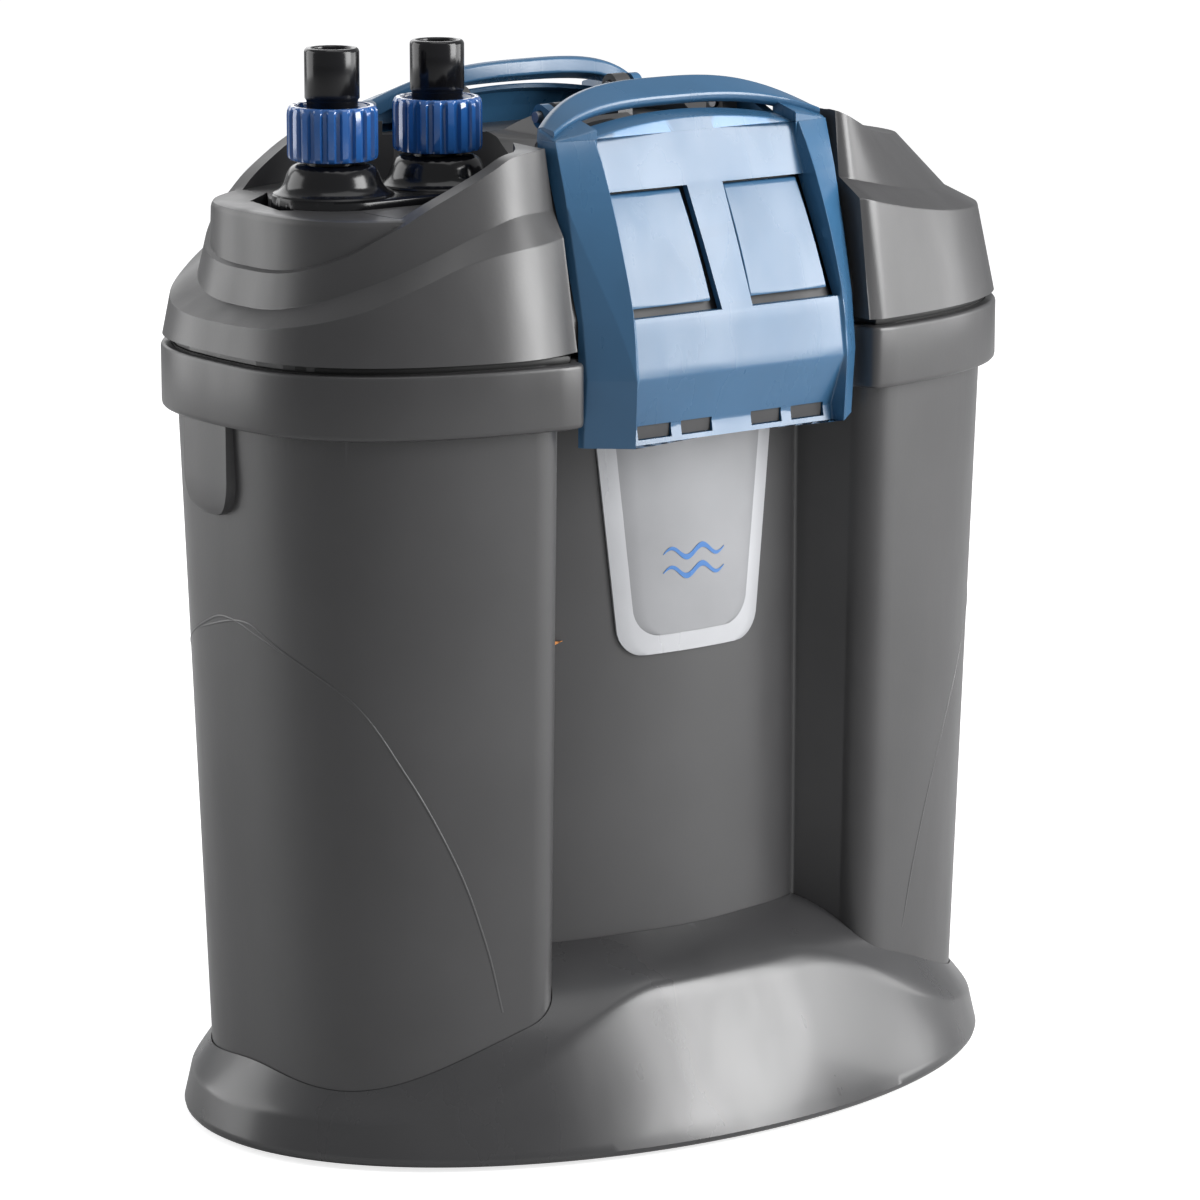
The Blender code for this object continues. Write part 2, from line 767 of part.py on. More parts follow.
def lug_solid(name, sign):
    """Block where the grip meets a cheek; its top falls outwards."""
    rings = []
    for x, front, back in ((39.6, 326.8, 328.4), (47.0, 324.8, 327.4), (54.8, 322.8, 325.2)):
        rings.append([
            (sign * x, -54.3, 318.6), (sign * x, -54.3, front),
            (sign * x, -45.2, back), (sign * x, -45.2, 318.6),
        ])
    return loft(name, rings, None, CUTTERS)


def brow_solid(name):
    """Arched top edge of the face between the cheeks."""
    rings = []
    for i in range(13):
        x = 38.6 * (i / 6 - 1)
        top = 322.6 + 4.0 * (1 - (x / 38.6) ** 2)
        low_y, top_y = face_point(319.5) + 0.15, CLAMP_FACE[-1][0] + 0.15 + 0.37 * (top - 322.4)
        rings.append([(x, low_y, 319.5), (x, top_y, top), (x, top_y + 2.3, top),
                      (x, low_y + 2.3, 319.5)])
    return loft(name, rings, None, CUTTERS)


def make_clamp(side):
    """side 1 is the front clamp; the rear one is the same part turned half round."""
    word = "front" if side == 1 else "rear"
    clamp = clamp_sheet(f"{word}_clamp")
    boolean(clamp, arch_solid(f"cut_{word}_arch"), "UNION")
    boolean(clamp, brow_solid(f"cut_{word}_brow"), "UNION")
    for sign in (-1, 1):
        boolean(clamp, lug_solid(f"cut_{word}_lug_{sign}", sign), "UNION")
    for x in (-39.4, 39.4):
        boolean(clamp, clamp_ear(f"cut_{word}_ear_{int(x)}", x), "UNION")
    hook = box(f"cut_{word}_hook", (-34.0, -78.5, 229.4), (34.0, -67.0, 233.4), None, CUTTERS)
    boolean(clamp, hook, "UNION")
    for sign in (-1, 1):
        window = window_cutter(f"cut_{word}_window_{sign}", sign)
        boolean(clamp, window)
        for x0, x1 in ((8.0, 20.5), (24.5, 38.0)):
            low, high = sorted((sign * x0, sign * x1))
            slot = box(f"cut_{word}_slot_{sign}_{int(x0)}", (low, -90, 228.2), (high, -76.6, 233.6),
                       None, CUTTERS)
            boolean(clamp, slot)
    bore = cylinder(f"cut_{word}_clamp_bore", (0, PIVOT_Y, PIVOT_Z), PIN_RADIUS + GAP, -60, 60,
                    None, CUTTERS, "X", 16)
    boolean(clamp, bore)
    plate = clamp_plate(f"{word}_clamp_plate")
    pins = [
        cylinder(f"{word}_clamp_pin_{letter}", (0, PIVOT_Y, PIVOT_Z), PIN_RADIUS, low, low + 14.0,
                 STEEL, None, "X", 16)
        for letter, low in (("a", -43.0), ("b", 29.0))
    ]
    holder = bpy.data.objects.new(f"{word}_clamp_axis", None)
    PARTS.objects.link(holder)
    members = [clamp, plate, *pins]
    members += [m.object for m in clamp.modifiers if m.type == "BOOLEAN"]
    for obj in members:
        obj.parent = holder
    if side == -1:
        holder.rotation_euler = (0, 0, math.pi)
    return clamp


def window_cutter(name, sign):
    """Cuts one of the two openings that show the plate behind the clamp's face."""
    bottom, top = 268.0, 305.5
    edges = ((6.2, 40.2), (7.2, 36.8))
    rings = []
    for y in (-95.0, -50.0):
        lower = [(sign * edges[0][0], y, bottom), (sign * edges[0][1], y, bottom)]
        upper = [(sign * edges[1][1], y, top), (sign * edges[1][0], y, top)]
        rings.append(lower + upper)
    return loft(name, rings, None, CUTTERS)


def face_point(z):
    """y of the clamp's outer face at height z."""
    for (y0, z0, _), (y1, z1, _) in zip(CLAMP_FACE, CLAMP_FACE[1:]):
        if z0 <= z <= z1:
            return y0 + (y1 - y0) * (z - z0) / (z1 - z0)
    return CLAMP_FACE[-1][0]


def clamp_plate(name):
    """Inner latch plate, seen through the two openings."""
    rings = []
    for z in (262.0, 266.8, 287.0, 307.0, 311.0):
        front = face_point(z) + CLAMP_SHEET + 0.5
        half = 38.0 - 2.0 * smooth((z - 262.0) / 45.0)
        rings.append([(-half, front, z), (half, front, z), (half, front + 1.6, z),
                      (-half, front + 1.6, z)])
    return loft(name, rings, BLUE)


def clamp_ear(name, x):
    """Side arm from the clamp's face back to its pin."""
    outline = [(-56.0, 314.0), (-54.0, 321.0)]
    for i in range(9):
        t = math.pi * (0.62 - i / 8)
        outline.append((PIVOT_Y + 4.0 * math.cos(t), PIVOT_Z + 4.0 * math.sin(t)))
    outline.append((-46.0, 318.5))
    bm = bmesh.new()
    ends = [[bm.verts.new((x + dx, y, z)) for y, z in outline] for dx in (-1.7, 1.7)]
    count = len(outline)
    for i in range(count):
        j = (i + 1) % count
        bm.faces.new((ends[0][i], ends[0][j], ends[1][j], ends[1][i]))
    bm.faces.new(ends[0])
    bm.faces.new(ends[1][::-1])
    return finish(name, bm, None, CUTTERS)


# ---------------------------------------------------------------- hose unit


def unit_outline(grow):
    """Stadium round both hose axes."""
    points = []
    radius = 19.0 + grow
    for centre, start in ((HOSE_AXES_X[1] + 2.0, -90), (HOSE_AXES_X[0] + 1.0, 90)):
        for i in range(13):
            t = math.radians(start + 180 * i / 12)
            points.append((centre + radius * math.cos(t), radius * math.sin(t)))
    return points


def make_hose_unit():
    body = prism("hose_unit_body", unit_outline(0.0), 292.4, 304.2, BLACK)
    dome = [(9.0, 314.2), (10.5, 314.2), (12.4, 312.8), (16.4, 305.0), (16.9, 300.0),
            (4.0, 300.0), (4.0, 309.0), (9.0, 309.0)]
    stub = [(9.8, 296.0), (9.8, 281.0), (4.0, 281.0), (4.0, 296.0)]
    for i, x in enumerate(HOSE_AXES_X):
        boolean(body, turned(f"cut_dome_{i}", dome, (x, 0, 0), BLACK, 24, CUTTERS), "UNION")
        boolean(body, turned(f"cut_stub_{i}", stub, (x, 0, 0), BLACK, 20, CUTTERS), "UNION")
    for i, x in enumerate(HOSE_AXES_X):
        hole = [(0, 330.0), (6.6, 330.0), (6.6, 270.0), (0, 270.0)]
        boolean(body, turned(f"cut_unit_bore_{i}", hole, (x, 0, 0), BLACK, 28, CUTTERS))
    for x, word in zip(HOSE_AXES_X, ("inlet", "outlet")):
        make_spigot(x, word)
    return body


def make_spigot(x, word):
    r, bore = SPIGOT_RADIUS, SPIGOT_BORE
    profile = [
        (r - 0.7, SPIGOT_TOP), (r, SPIGOT_TOP - 0.9), (r, SPIGOT_TOP - 3.0),
        (r - 0.5, SPIGOT_TOP - 3.8), (r - 0.5, 309.6), (bore, 309.6), (bore, SPIGOT_TOP),
    ]
    turned(f"{word}_spigot", profile, (x, 0, 0), BLACK, 24)
    seal = [(12.1, 288.4), (12.5, 287.4), (12.1, 286.4), (10.6, 286.4), (10.15, 287.4),
            (10.6, 288.4)]
    turned(f"{word}_o_ring", seal, (x, 0, 0), RUBBER, 20)
    make_nut(x, word)


def make_nut(x, word):
    """Union nut with flutes round its outside."""
    flutes = 20
    per_flute = 3
    rings = []
    levels = ((NUT_BOTTOM, 0.90), (NUT_BOTTOM + 1.2, 1.0), (NUT_TOP - 1.6, 1.0), (NUT_TOP, 0.93))
    for z, scale in levels:
        ring = []
        for i in range(flutes * per_flute):
            t = TAU * i / (flutes * per_flute)
            depth = 0.9 if i % per_flute == 2 else 0.0
            radius = (NUT_RADIUS - depth) * scale
            ring.append((x + radius * math.cos(t), radius * math.sin(t), z))
        rings.append(ring)
    nut = loft(f"{word}_union_nut", rings, NUT_BLUE)
    clear = SPIGOT_RADIUS + GAP
    hole = [(0, 340.0), (11.6, 340.0), (11.6, NUT_TOP - 2.0), (clear, NUT_TOP - 2.0),
            (clear, 306.0), (0, 306.0)]
    boolean(nut, turned(f"cut_{word}_nut_bore", hole, (x, 0, 0), BLACK, 24, CUTTERS))


# ---------------------------------------------------------------- inside


def closed_ring(name, rings, material):
    """A tube that runs round the canister: the last ring joins the first."""
    bm = bmesh.new()
    rows = [[bm.verts.new(point) for point in ring] for ring in rings]
    count = len(rows[0])
    for lower, upper in zip(rows, rows[1:] + rows[:1]):
        for i in range(count):
            j = (i + 1) % count
            bm.faces.new((lower[i], lower[j], upper[j], upper[i]))
    return finish(name, bm, material)


def make_seal():
    outline = lobed_outline(*body_size(COLLAR_TOP))
    outer, inner = offset(outline, -1.1), offset(outline, 2.4)
    low, high = COLLAR_TOP - 3.2, HEAD_FLANGE_BOTTOM - 0.3
    rings = [at_height(outer, low), at_height(outer, high), at_height(inner, high),
             at_height(inner, low)]
    closed_ring("lid_seal", rings, RUBBER)


def make_head_plate():
    """Closes the lid's underside, drops into the canister and carries the pump."""
    outline = lobed_outline(*body_size(HEAD_PLATE_BOTTOM))
    neck, flange = offset(outline, WALL + 0.8), offset(outline, -0.9)
    plate = loft(
        "head_plate",
        [at_height(neck, HEAD_PLATE_BOTTOM), at_height(neck, HEAD_FLANGE_BOTTOM),
         at_height(flange, HEAD_FLANGE_BOTTOM), at_height(flange, HEAD_FLANGE_TOP)],
        HOUSING,
    )
    holes = ((HOSE_AXES_X[0], PIPE_RADIUS + GAP), (PUMP_X, 12.0))
    for i, (x, radius) in enumerate(holes):
        hole = cylinder(f"cut_head_hole_{i}", (x, 0, 0), radius, 230.0, 270.0, None, CUTTERS,
                        steps=20)
        boolean(plate, hole)


def make_intake_pipe():
    r = PIPE_RADIUS
    profile = [(r, 276.0), (r, 17.0), (r - 2.0, 17.0), (r - 2.0, 276.0)]
    turned("intake_pipe", profile, (HOSE_AXES_X[0], 0, 0), BLACK, 20)


def make_outlet_duct():
    """Carries filtered water from the pump chamber to the outlet."""
    duct = cylinder("outlet_duct", (0, 0, DUCT_Z), 7.5, HOSE_AXES_X[1] - 6.0, PUMP_X - 24.6,
                    BLACK, None, "X", 16)
    riser = cylinder("cut_riser", (HOSE_AXES_X[1], 0, 0), 7.5, DUCT_Z - 3.0, 277.4, None,
                     CUTTERS, steps=16)
    boolean(duct, riser, "UNION")
    bore = cylinder("cut_duct_bore", (0, 0, DUCT_Z), 5.5, HOSE_AXES_X[1] - 1.0, PUMP_X, None,
                    CUTTERS, "X", 12)
    rise = cylinder("cut_riser_bore", (HOSE_AXES_X[1], 0, 0), 5.3, DUCT_Z - 1.0, 290.0, None,
                    CUTTERS, steps=12)
    boolean(duct, bore)
    boolean(duct, rise)


def make_pump():
    """Canned motor on the head plate, with the impeller's chamber at its foot."""
    z0 = HEAD_FLANGE_TOP + GAP
    housing = [(24.0, z0), (19.0, z0), (19.0, 272.0), (9.8, 272.0), (9.8, 299.0), (3.2, 299.0),
               (3.2, 303.0), (0, 303.0), (0, 307.0), (20.0, 307.0), (24.0, 303.0)]
    body = turned("motor_housing", housing[::-1], (PUMP_X, 0, 0), BLACK, 24)
    port = cylinder("cut_pump_port", (PUMP_X, 0, DUCT_Z), 5.5, -40.0, -12.0, None, CUTTERS, "X",
                    12)
    boolean(body, port)
    shaft = [(0, 302.4), (1.5, 302.4), (1.5, 246.8), (0, 246.8)]
    turned("impeller_shaft", shaft, (PUMP_X, 0, 0), CERAMIC, 12)
    for word, top in (("upper", 302.6), ("lower", 245.4)):
        bush = [(2.9, top), (2.9, top - 2.8), (1.8, top - 2.8), (1.8, top)]
        turned(f"shaft_bush_{word}", bush, (PUMP_X, 0, 0), RUBBER, 14)
    magnet = [(8.8, 298.0), (8.8, 273.9), (1.8, 273.9), (1.8, 298.0)]
    turned("rotor_magnet", magnet, (PUMP_X, 0, 0), MAGNET, 20)
    make_impeller()
    make_impeller_cover()


def make_impeller():
    impeller = cylinder("impeller", (PUMP_X, 0, 0), 5.0, 260.6, 273.6, WHITE, steps=16)
    for i in range(3):
        blade = box(f"cut_blade_{i}", (-16.5, -0.8, 261.2), (16.5, 0.8, 270.4), None, CUTTERS)
        blade.rotation_euler = (0, 0, math.pi * i / 3)
        blade.location = (PUMP_X * MM, 0, 0)
        boolean(impeller, blade, "UNION")
    bore = cylinder("cut_impeller_bore", (PUMP_X, 0, 0), 1.8, 250.0, 280.0, None, CUTTERS,
                    steps=12)
    boolean(impeller, bore)


def make_impeller_cover():
    """Strainer disc under the head plate: it holds the shaft's lower bush."""
    cover = cylinder("impeller_cover", (PUMP_X, 0, 0), 22.0, 241.6, 245.7, BLACK, steps=28)
    bore = cylinder("cut_bush_seat", (PUMP_X, 0, 0), 3.2, 242.3, 250.0, None, CUTTERS, steps=14)
    boolean(cover, bore)
    for i in range(6):
        angle = TAU * i / 6
        centre = (PUMP_X + 12.0 * math.cos(angle), 12.0 * math.sin(angle), 0)
        boolean(cover, cylinder(f"cut_strainer_{i}", centre, 3.4, 230.0, 250.0, None, CUTTERS,
                                steps=10))


def clip_left(outline, x0):
    """The part of the outline to the right of x0."""
    kept = []
    for (xa, ya), (xb, yb) in zip(outline, outline[1:] + outline[:1]):
        if xa >= x0:
            kept.append((xa, ya))
        if (xa - x0) * (xb - x0) < 0:
            share = (x0 - xa) / (xb - xa)
            kept.append((x0, ya + (yb - ya) * share))
    return kept


def make_basket(word, bottom, media, material):
    """Tray that lifts out of the canister, with its filter medium."""
    outline = offset(lobed_outline(*body_size(bottom)), WALL + 1.4)
    shell = clip_left(outline, -82.0)
    lining = offset(shell, 1.8)
    top = bottom + BASKET_HEIGHT
    rings = [at_height(shell, bottom), at_height(shell, top), at_height(lining, top),
             at_height(lining, bottom + 1.8)]
    basket = loft(f"{word}_basket", rings, TRAY)
    for i, x in enumerate((-60.0, -30.0, 0.0, 30.0, 60.0, 90.0)):
        slot = box(f"cut_{word}_slot_{i}", (x - 4.0, -30.0, bottom - 5.0),
                   (x + 4.0, 30.0, bottom + 5.0), None, CUTTERS)
        boolean(basket, slot)
    prism(media, offset(shell, 2.6), bottom + 2.2, top - 6.0, material)


def make_gland():
    gland = cylinder("cable_gland", (GLAND_X, 0, GLAND_Z), 4.9, 61.0, 73.0, RUBBER, None, "Y", 16)
    head = cylinder("cut_gland_head", (GLAND_X, 0, GLAND_Z), 7.4, 71.4, 75.6, None, CUTTERS, "Y",
                    20)
    boolean(gland, head, "UNION")
    bore = cylinder("cut_gland_bore", (GLAND_X, 0, GLAND_Z), 3.0, 50.0, 90.0, None, CUTTERS, "Y",
                    12)
    boolean(gland, bore)


# ---------------------------------------------------------------- build


def main():
    make_container()
    make_base()
    make_feet()
    make_badge()
    make_lid()
    for side in (1, -1):
        make_clamp(side)
    make_hose_unit()
    make_seal()
    make_head_plate()
    make_intake_pipe()
    make_outlet_duct()
    make_pump()
    make_gland()
    make_basket("lower", 14.0, "coarse_foam", BLUE_FOAM)
    make_basket("middle", 86.0, "bio_media", MEDIA)
    make_basket("upper", 158.0, "fine_foam", ORANGE_FOAM)


main()
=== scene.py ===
"""Look of the oval canister water filter, built round its CAD frame.

Shapes are worked out in millimetres and scaled to metres when their mesh is made. The hose
unit is at -X, the badge faces -Y and +Z is up.
"""
import math
import random

import bmesh
import bpy
from mathutils import Matrix, Vector


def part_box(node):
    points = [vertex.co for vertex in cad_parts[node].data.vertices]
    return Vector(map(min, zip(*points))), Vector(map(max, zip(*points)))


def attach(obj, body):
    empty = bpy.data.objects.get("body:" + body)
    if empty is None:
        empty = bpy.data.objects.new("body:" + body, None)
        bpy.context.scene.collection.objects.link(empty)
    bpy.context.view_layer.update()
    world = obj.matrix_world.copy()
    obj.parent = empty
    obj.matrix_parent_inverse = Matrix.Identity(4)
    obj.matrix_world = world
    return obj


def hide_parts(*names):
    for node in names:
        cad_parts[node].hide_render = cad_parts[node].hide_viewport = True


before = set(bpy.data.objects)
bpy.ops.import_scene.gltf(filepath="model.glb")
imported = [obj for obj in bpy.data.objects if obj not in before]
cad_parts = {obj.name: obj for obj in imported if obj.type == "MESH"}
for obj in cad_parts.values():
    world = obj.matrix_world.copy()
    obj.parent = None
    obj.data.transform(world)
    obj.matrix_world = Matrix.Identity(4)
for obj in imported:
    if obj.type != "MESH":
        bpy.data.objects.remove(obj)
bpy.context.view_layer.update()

MM = 0.001
TAU = 2 * math.pi

# Plan and levels, as in the CAD.
COLLAR_A, COLLAR_B, OVAL_POWER = 148.5, 79.0, 2.95
FLOOR_Z, COLLAR_Z0, COLLAR_Z1, LID_Z = 9.0, 235.2, 255.7, 258.3
DRUM_Z, SADDLE_Z = 301.5, 330.2
TOP_A, TOP_B, FOOT_END_A, FOOT_END_B = 143.9, 73.6, 135.0, 69.6
RECESS_Y, RECESS_CORNER, LOBE_CORNER, LOBE_X = 54.5, (52.0, 44.0), (61.0, 62.0), 74.0
NOTCH_X, NOTCH_Y = 57.4, 66.5
FOOT_A, FOOT_B = 149.1, 100.7
HOSES_X = (-101.7, -61.0)
PIVOT_Y, PIVOT_Z = -28.0, 327.0


# ---------------------------------------------------------------- materials


class Shader:
    """A Principled material with small helpers for its nodes."""

    def __init__(self, name, colour, rough, **sockets):
        self.material = bpy.data.materials.new(name)
        self.material.use_nodes = True
        self.tree = self.material.node_tree
        self.main = self.tree.nodes["Principled BSDF"]
        self.colour = colour
        self.rough = rough
        self.set("Base Color", (*colour, 1.0))
        self.set("Roughness", rough)
        for key, value in sockets.items():
            self.set(key.replace("_", " "), value)
        self.where = self.tree.nodes.new("ShaderNodeTexCoord").outputs["Object"]

    def set(self, socket, value):
        self.main.inputs[socket].default_value = value

    def node(self, kind, **settings):
        made = self.tree.nodes.new(kind)
        for key, value in settings.items():
            if key in made.inputs:
                made.inputs[key].default_value = value
            else:
                setattr(made, key, value)
        return made

    def link(self, a, b):
        self.tree.links.new(a, b)

    def noise(self, scale, detail=3.0, stretch=None):
        made = self.node("ShaderNodeTexNoise", Scale=scale, Detail=detail)
        source = self.where
        if stretch:
            mapping = self.node("ShaderNodeMapping")
            mapping.inputs["Scale"].default_value = stretch
            self.link(source, mapping.inputs["Vector"])
            source = mapping.outputs["Vector"]
        self.link(source, made.inputs["Vector"])
        return made.outputs["Fac"]

    def ranged(self, value, low, high, start=0.3, end=0.7):
        made = self.node("ShaderNodeMapRange")
        for key, number in zip(("From Min", "From Max", "To Min", "To Max"),
                               (start, end, low, high)):
            made.inputs[key].default_value = number
        self.link(value, made.inputs["Value"])
        return made.outputs["Result"]

    def mixed(self, factor, first, second):
        made = self.node("ShaderNodeMix", data_type="RGBA")
        self.link(factor, made.inputs["Factor"])
        for key, colour in (("A", first), ("B", second)):
            socket = [s for s in made.inputs if s.name == key and s.type == "RGBA"][0]
            if isinstance(colour, tuple):
                socket.default_value = (*colour, 1.0)
            else:
                self.link(colour, socket)
        return [s for s in made.outputs if s.type == "RGBA"][0]

    def bump(self, heights):
        """Stacks bumps given as (height, strength, distance)."""
        normal = None
        for height, strength, distance in heights:
            made = self.node("ShaderNodeBump", Strength=strength, Distance=distance)
            self.link(height, made.inputs["Height"])
            if normal:
                self.link(normal, made.inputs["Normal"])
            normal = made.outputs["Normal"]
        self.link(normal, self.main.inputs["Normal"])


def shade(colour, factor):
    return tuple(min(1.0, c * factor) for c in colour)


def moulded(name, colour, rough, grain=900.0, depth=0.00004, spread=0.08, edge_highlight=1.5, **sockets):
    """Injection-moulded plastic: spark-eroded grain, uneven sheen and a painted highlight that
    lightens its sharp edges.
    """
    s = Shader(name, colour, rough, **sockets)
    cloud = s.noise(18.0, 4.0)
    body = s.mixed(s.ranged(cloud, 0, 1), shade(colour, 0.9), shade(colour, 1.12))
    # Painted highlight: where the mesh is sharp the colour is lightened, standing in for the glint
    # of light on rounded edges.
    edge = s.node("ShaderNodeNewGeometry").outputs["Pointiness"]
    painted_edge_highlight = s.ranged(edge, 0.0, 1.0, 0.57, 0.7)
    s.link(s.mixed(painted_edge_highlight, body, shade(colour, edge_highlight)), s.main.inputs["Base Color"])
    smear = s.noise(45.0, 5.0, (1.0, 1.0, 0.25))
    s.link(s.ranged(smear, rough - spread, rough + spread), s.main.inputs["Roughness"])
    s.bump([(s.noise(grain, 2.0), 0.35, depth), (s.noise(25.0, 2.0), 0.08, 0.0002)])
    return s.material


def brushed_metal(name, colour, rough):
    s = Shader(name, colour, rough, Metallic=1.0)
    lines = s.noise(600.0, 3.0, (0.05, 1.0, 1.0))
    s.link(s.ranged(lines, rough - 0.08, rough + 0.12), s.main.inputs["Roughness"])
    s.link(s.mixed(s.ranged(lines, 0, 1), shade(colour, 0.85), colour), s.main.inputs["Base Color"])
    s.bump([(lines, 0.2, 0.00003)])
    return s.material


def open_cell(name, colour, cell):
    """Open-cell foam: pores painted dark as the shade inside them, between bright struts."""
    s = Shader(name, colour, 0.95)
    pores = s.node("ShaderNodeTexVoronoi", Scale=cell)
    s.link(s.where, pores.inputs["Vector"])
    depth = s.ranged(pores.outputs["Distance"], 0.0, 1.0, 0.12, 0.6)
    # Painted shade: the pores are darkened to a quarter of the colour where shade falls inside them,
    # and the struts are lightened.
    painted_pore_shade = s.mixed(depth, shade(colour, 0.25), shade(colour, 1.15))
    s.link(painted_pore_shade, s.main.inputs["Base Color"])
    s.bump([(depth, 0.9, 0.0012), (s.noise(cell * 2, 2.0), 0.3, 0.0004)])
    return s.material


def porous(name, colour):
    s = Shader(name, colour, 0.9)
    grit = s.noise(420.0, 6.0)
    s.link(s.mixed(s.ranged(grit, 0, 1), shade(colour, 0.6), shade(colour, 1.15)),
           s.main.inputs["Base Color"])
    s.bump([(grit, 0.8, 0.0004)])
    return s.material


HOUSING = moulded("housing_grey", (0.040, 0.0395, 0.0405), 0.36, edge_highlight=1.3)
FOOT = moulded("foot_grey", (0.034, 0.0338, 0.035), 0.30, grain=700.0, depth=0.00001, spread=0.05,
               Coat_Weight=0.12, Coat_Roughness=0.12)
BLUE = moulded("clamp_blue", (0.030, 0.094, 0.182), 0.27, depth=0.00002, edge_highlight=1.9)
NUT_BLUE = moulded("nut_blue", (0.018, 0.095, 0.31), 0.12, depth=0.00001, spread=0.04, edge_highlight=2.2,
                   Coat_Weight=0.6, Coat_Roughness=0.05, Transmission_Weight=0.08)
BLACK = moulded("gloss_black", (0.005, 0.005, 0.006), 0.17, depth=0.000012, spread=0.05, edge_highlight=2.0,
                Specular_IOR_Level=0.35)
SILVER = moulded("badge_silver", (0.37, 0.375, 0.39), 0.3, grain=1500.0, depth=0.00001, edge_highlight=1.1,
                 Metallic=0.25)
PALE = moulded("badge_grey", (0.22, 0.223, 0.232), 0.38, grain=1500.0, depth=0.00002, edge_highlight=1.1,
               Metallic=0.15)
GLYPH = moulded("badge_blue", (0.03, 0.12, 0.32), 0.3, grain=1500.0, depth=0.00001, edge_highlight=1.2)
RUBBER = moulded("seal_rubber", (0.012, 0.012, 0.012), 0.62, grain=500.0, edge_highlight=1.2)
STEEL = brushed_metal("stainless", (0.35, 0.35, 0.36), 0.4)
CERAMIC = moulded("ceramic_white", (0.82, 0.81, 0.77), 0.25, depth=0.00001, edge_highlight=1.05)
MAGNET = porous("ferrite", (0.05, 0.05, 0.055))
WHITE = moulded("impeller_white", (0.65, 0.65, 0.63), 0.4, edge_highlight=1.1)
TRAY = moulded("tray_grey", (0.26, 0.28, 0.31), 0.42)
COARSE = open_cell("coarse_foam", (0.05, 0.17, 0.42), 260.0)
FINE = open_cell("fine_foam", (0.62, 0.24, 0.06), 520.0)
MEDIA = porous("bio_media", (0.52, 0.40, 0.31))
# Painted shade: a flat black for the sheets put behind the clamp's windows and slots, where there is
# only shade.
PAINTED_SHADE_BLACK = moulded("shadow_black", (0.006, 0.006, 0.007), 0.55)


# ---------------------------------------------------------------- mesh helpers


def keep(name, mesh, material, angle=32.0):
    if material:
        mesh.materials.clear()
        mesh.materials.append(material)
    mesh.shade_smooth()
    mesh.set_sharp_from_angle(angle=math.radians(angle))
    obj = bpy.data.objects.new(name, mesh)
    bpy.context.scene.collection.objects.link(obj)
    return obj


def close_mesh(name, bm, material=None, angle=32.0):
    """Turns a bmesh in millimetres into an object in metres."""
    bm.normal_update()
    bmesh.ops.triangulate(bm, faces=bm.faces, ngon_method="EAR_CLIP")
    bmesh.ops.recalc_face_normals(bm, faces=bm.faces)
    bmesh.ops.scale(bm, vec=(MM, MM, MM), verts=bm.verts)
    mesh = bpy.data.meshes.new(name)
    bm.to_mesh(mesh)
    bm.free()
    return keep(name, mesh, material, angle)


def is_even(row):
    pairs = zip(row, [row[0]] + row[:0:-1])
    return all((v.co - Vector((w.co.x, -w.co.y, w.co.z))).length < 1e-4 for v, w in pairs)


def cap(bm, row):
    count = len(row)
    if count > 8 and is_even(row):
        bm.faces.new((row[0], row[1], row[-1]))
        for i in range(1, (count - 1) // 2):
            bm.faces.new((row[i], row[i + 1], row[count - i - 1], row[count - i]))
        if count % 2 == 0:
            bm.faces.new((row[count // 2 - 1], row[count // 2], row[count // 2 + 1]))
    elif count > 24:
        hub = bm.verts.new(sum((v.co for v in row), Vector()) / count)
        for i in range(count):
            bm.faces.new((row[i], row[(i + 1) % count], hub))
    else:
        bm.faces.new(row)


def loft_mesh(rings, closed=False):
    bm = bmesh.new()
    rows = [[bm.verts.new(point) for point in ring] for ring in rings]
    count = len(rows[0])
    following = rows[1:] + rows[:1] if closed else rows[1:]
    for lower, upper in zip(rows, following):
        for i in range(count):
            j = (i + 1) % count
            bm.faces.new((lower[i], lower[j], upper[j], upper[i]))
    if not closed:
        cap(bm, rows[0])
        cap(bm, rows[-1])
    return bm


def loft(name, rings, material=None, closed=False, angle=32.0):
    return close_mesh(name, loft_mesh(rings, closed), material, angle)


def level(outline, z):
    return [(p[0], p[1], z) for p in outline]


def prism(name, outline, z0, z1):
    return loft(name, [level(outline, z0), level(outline, z1)])


def box(name, low, high):
    bm = bmesh.new()
    bmesh.ops.create_cube(bm, size=1.0)
    bmesh.ops.scale(bm, vec=[b - a for a, b in zip(low, high)], verts=bm.verts)
    bmesh.ops.translate(bm, vec=[(a + b) / 2 for a, b in zip(low, high)], verts=bm.verts)
    return close_mesh(name, bm)


def slab(name, outline, low_x, high_x):
    """A flat (y, z) outline drawn out from low_x to high_x."""
    bm = bmesh.new()
    ends = [[bm.verts.new((x, y, z)) for y, z in outline] for x in (low_x, high_x)]
    for i in range(len(outline)):
        j = (i + 1) % len(outline)
        bm.faces.new((ends[0][i], ends[0][j], ends[1][j], ends[1][i]))
    bm.faces.new(ends[0])
    bm.faces.new(ends[1][::-1])
    return close_mesh(name, bm)


def rod(name, centre, radius, start, end, axis="Z"):
    bm = bmesh.new()
    bmesh.ops.create_cone(bm, cap_ends=True, segments=48, radius1=radius, radius2=radius,
                          depth=end - start)
    bmesh.ops.translate(bm, vec=(0, 0, (start + end) / 2), verts=bm.verts)
    turn = {"X": Matrix.Rotation(math.pi / 2, 3, "Y"), "Y": Matrix.Rotation(-math.pi / 2, 3, "X")}
    if axis in turn:
        bmesh.ops.rotate(bm, matrix=turn[axis], verts=bm.verts)
    bmesh.ops.translate(bm, vec=centre, verts=bm.verts)
    return close_mesh(name, bm)


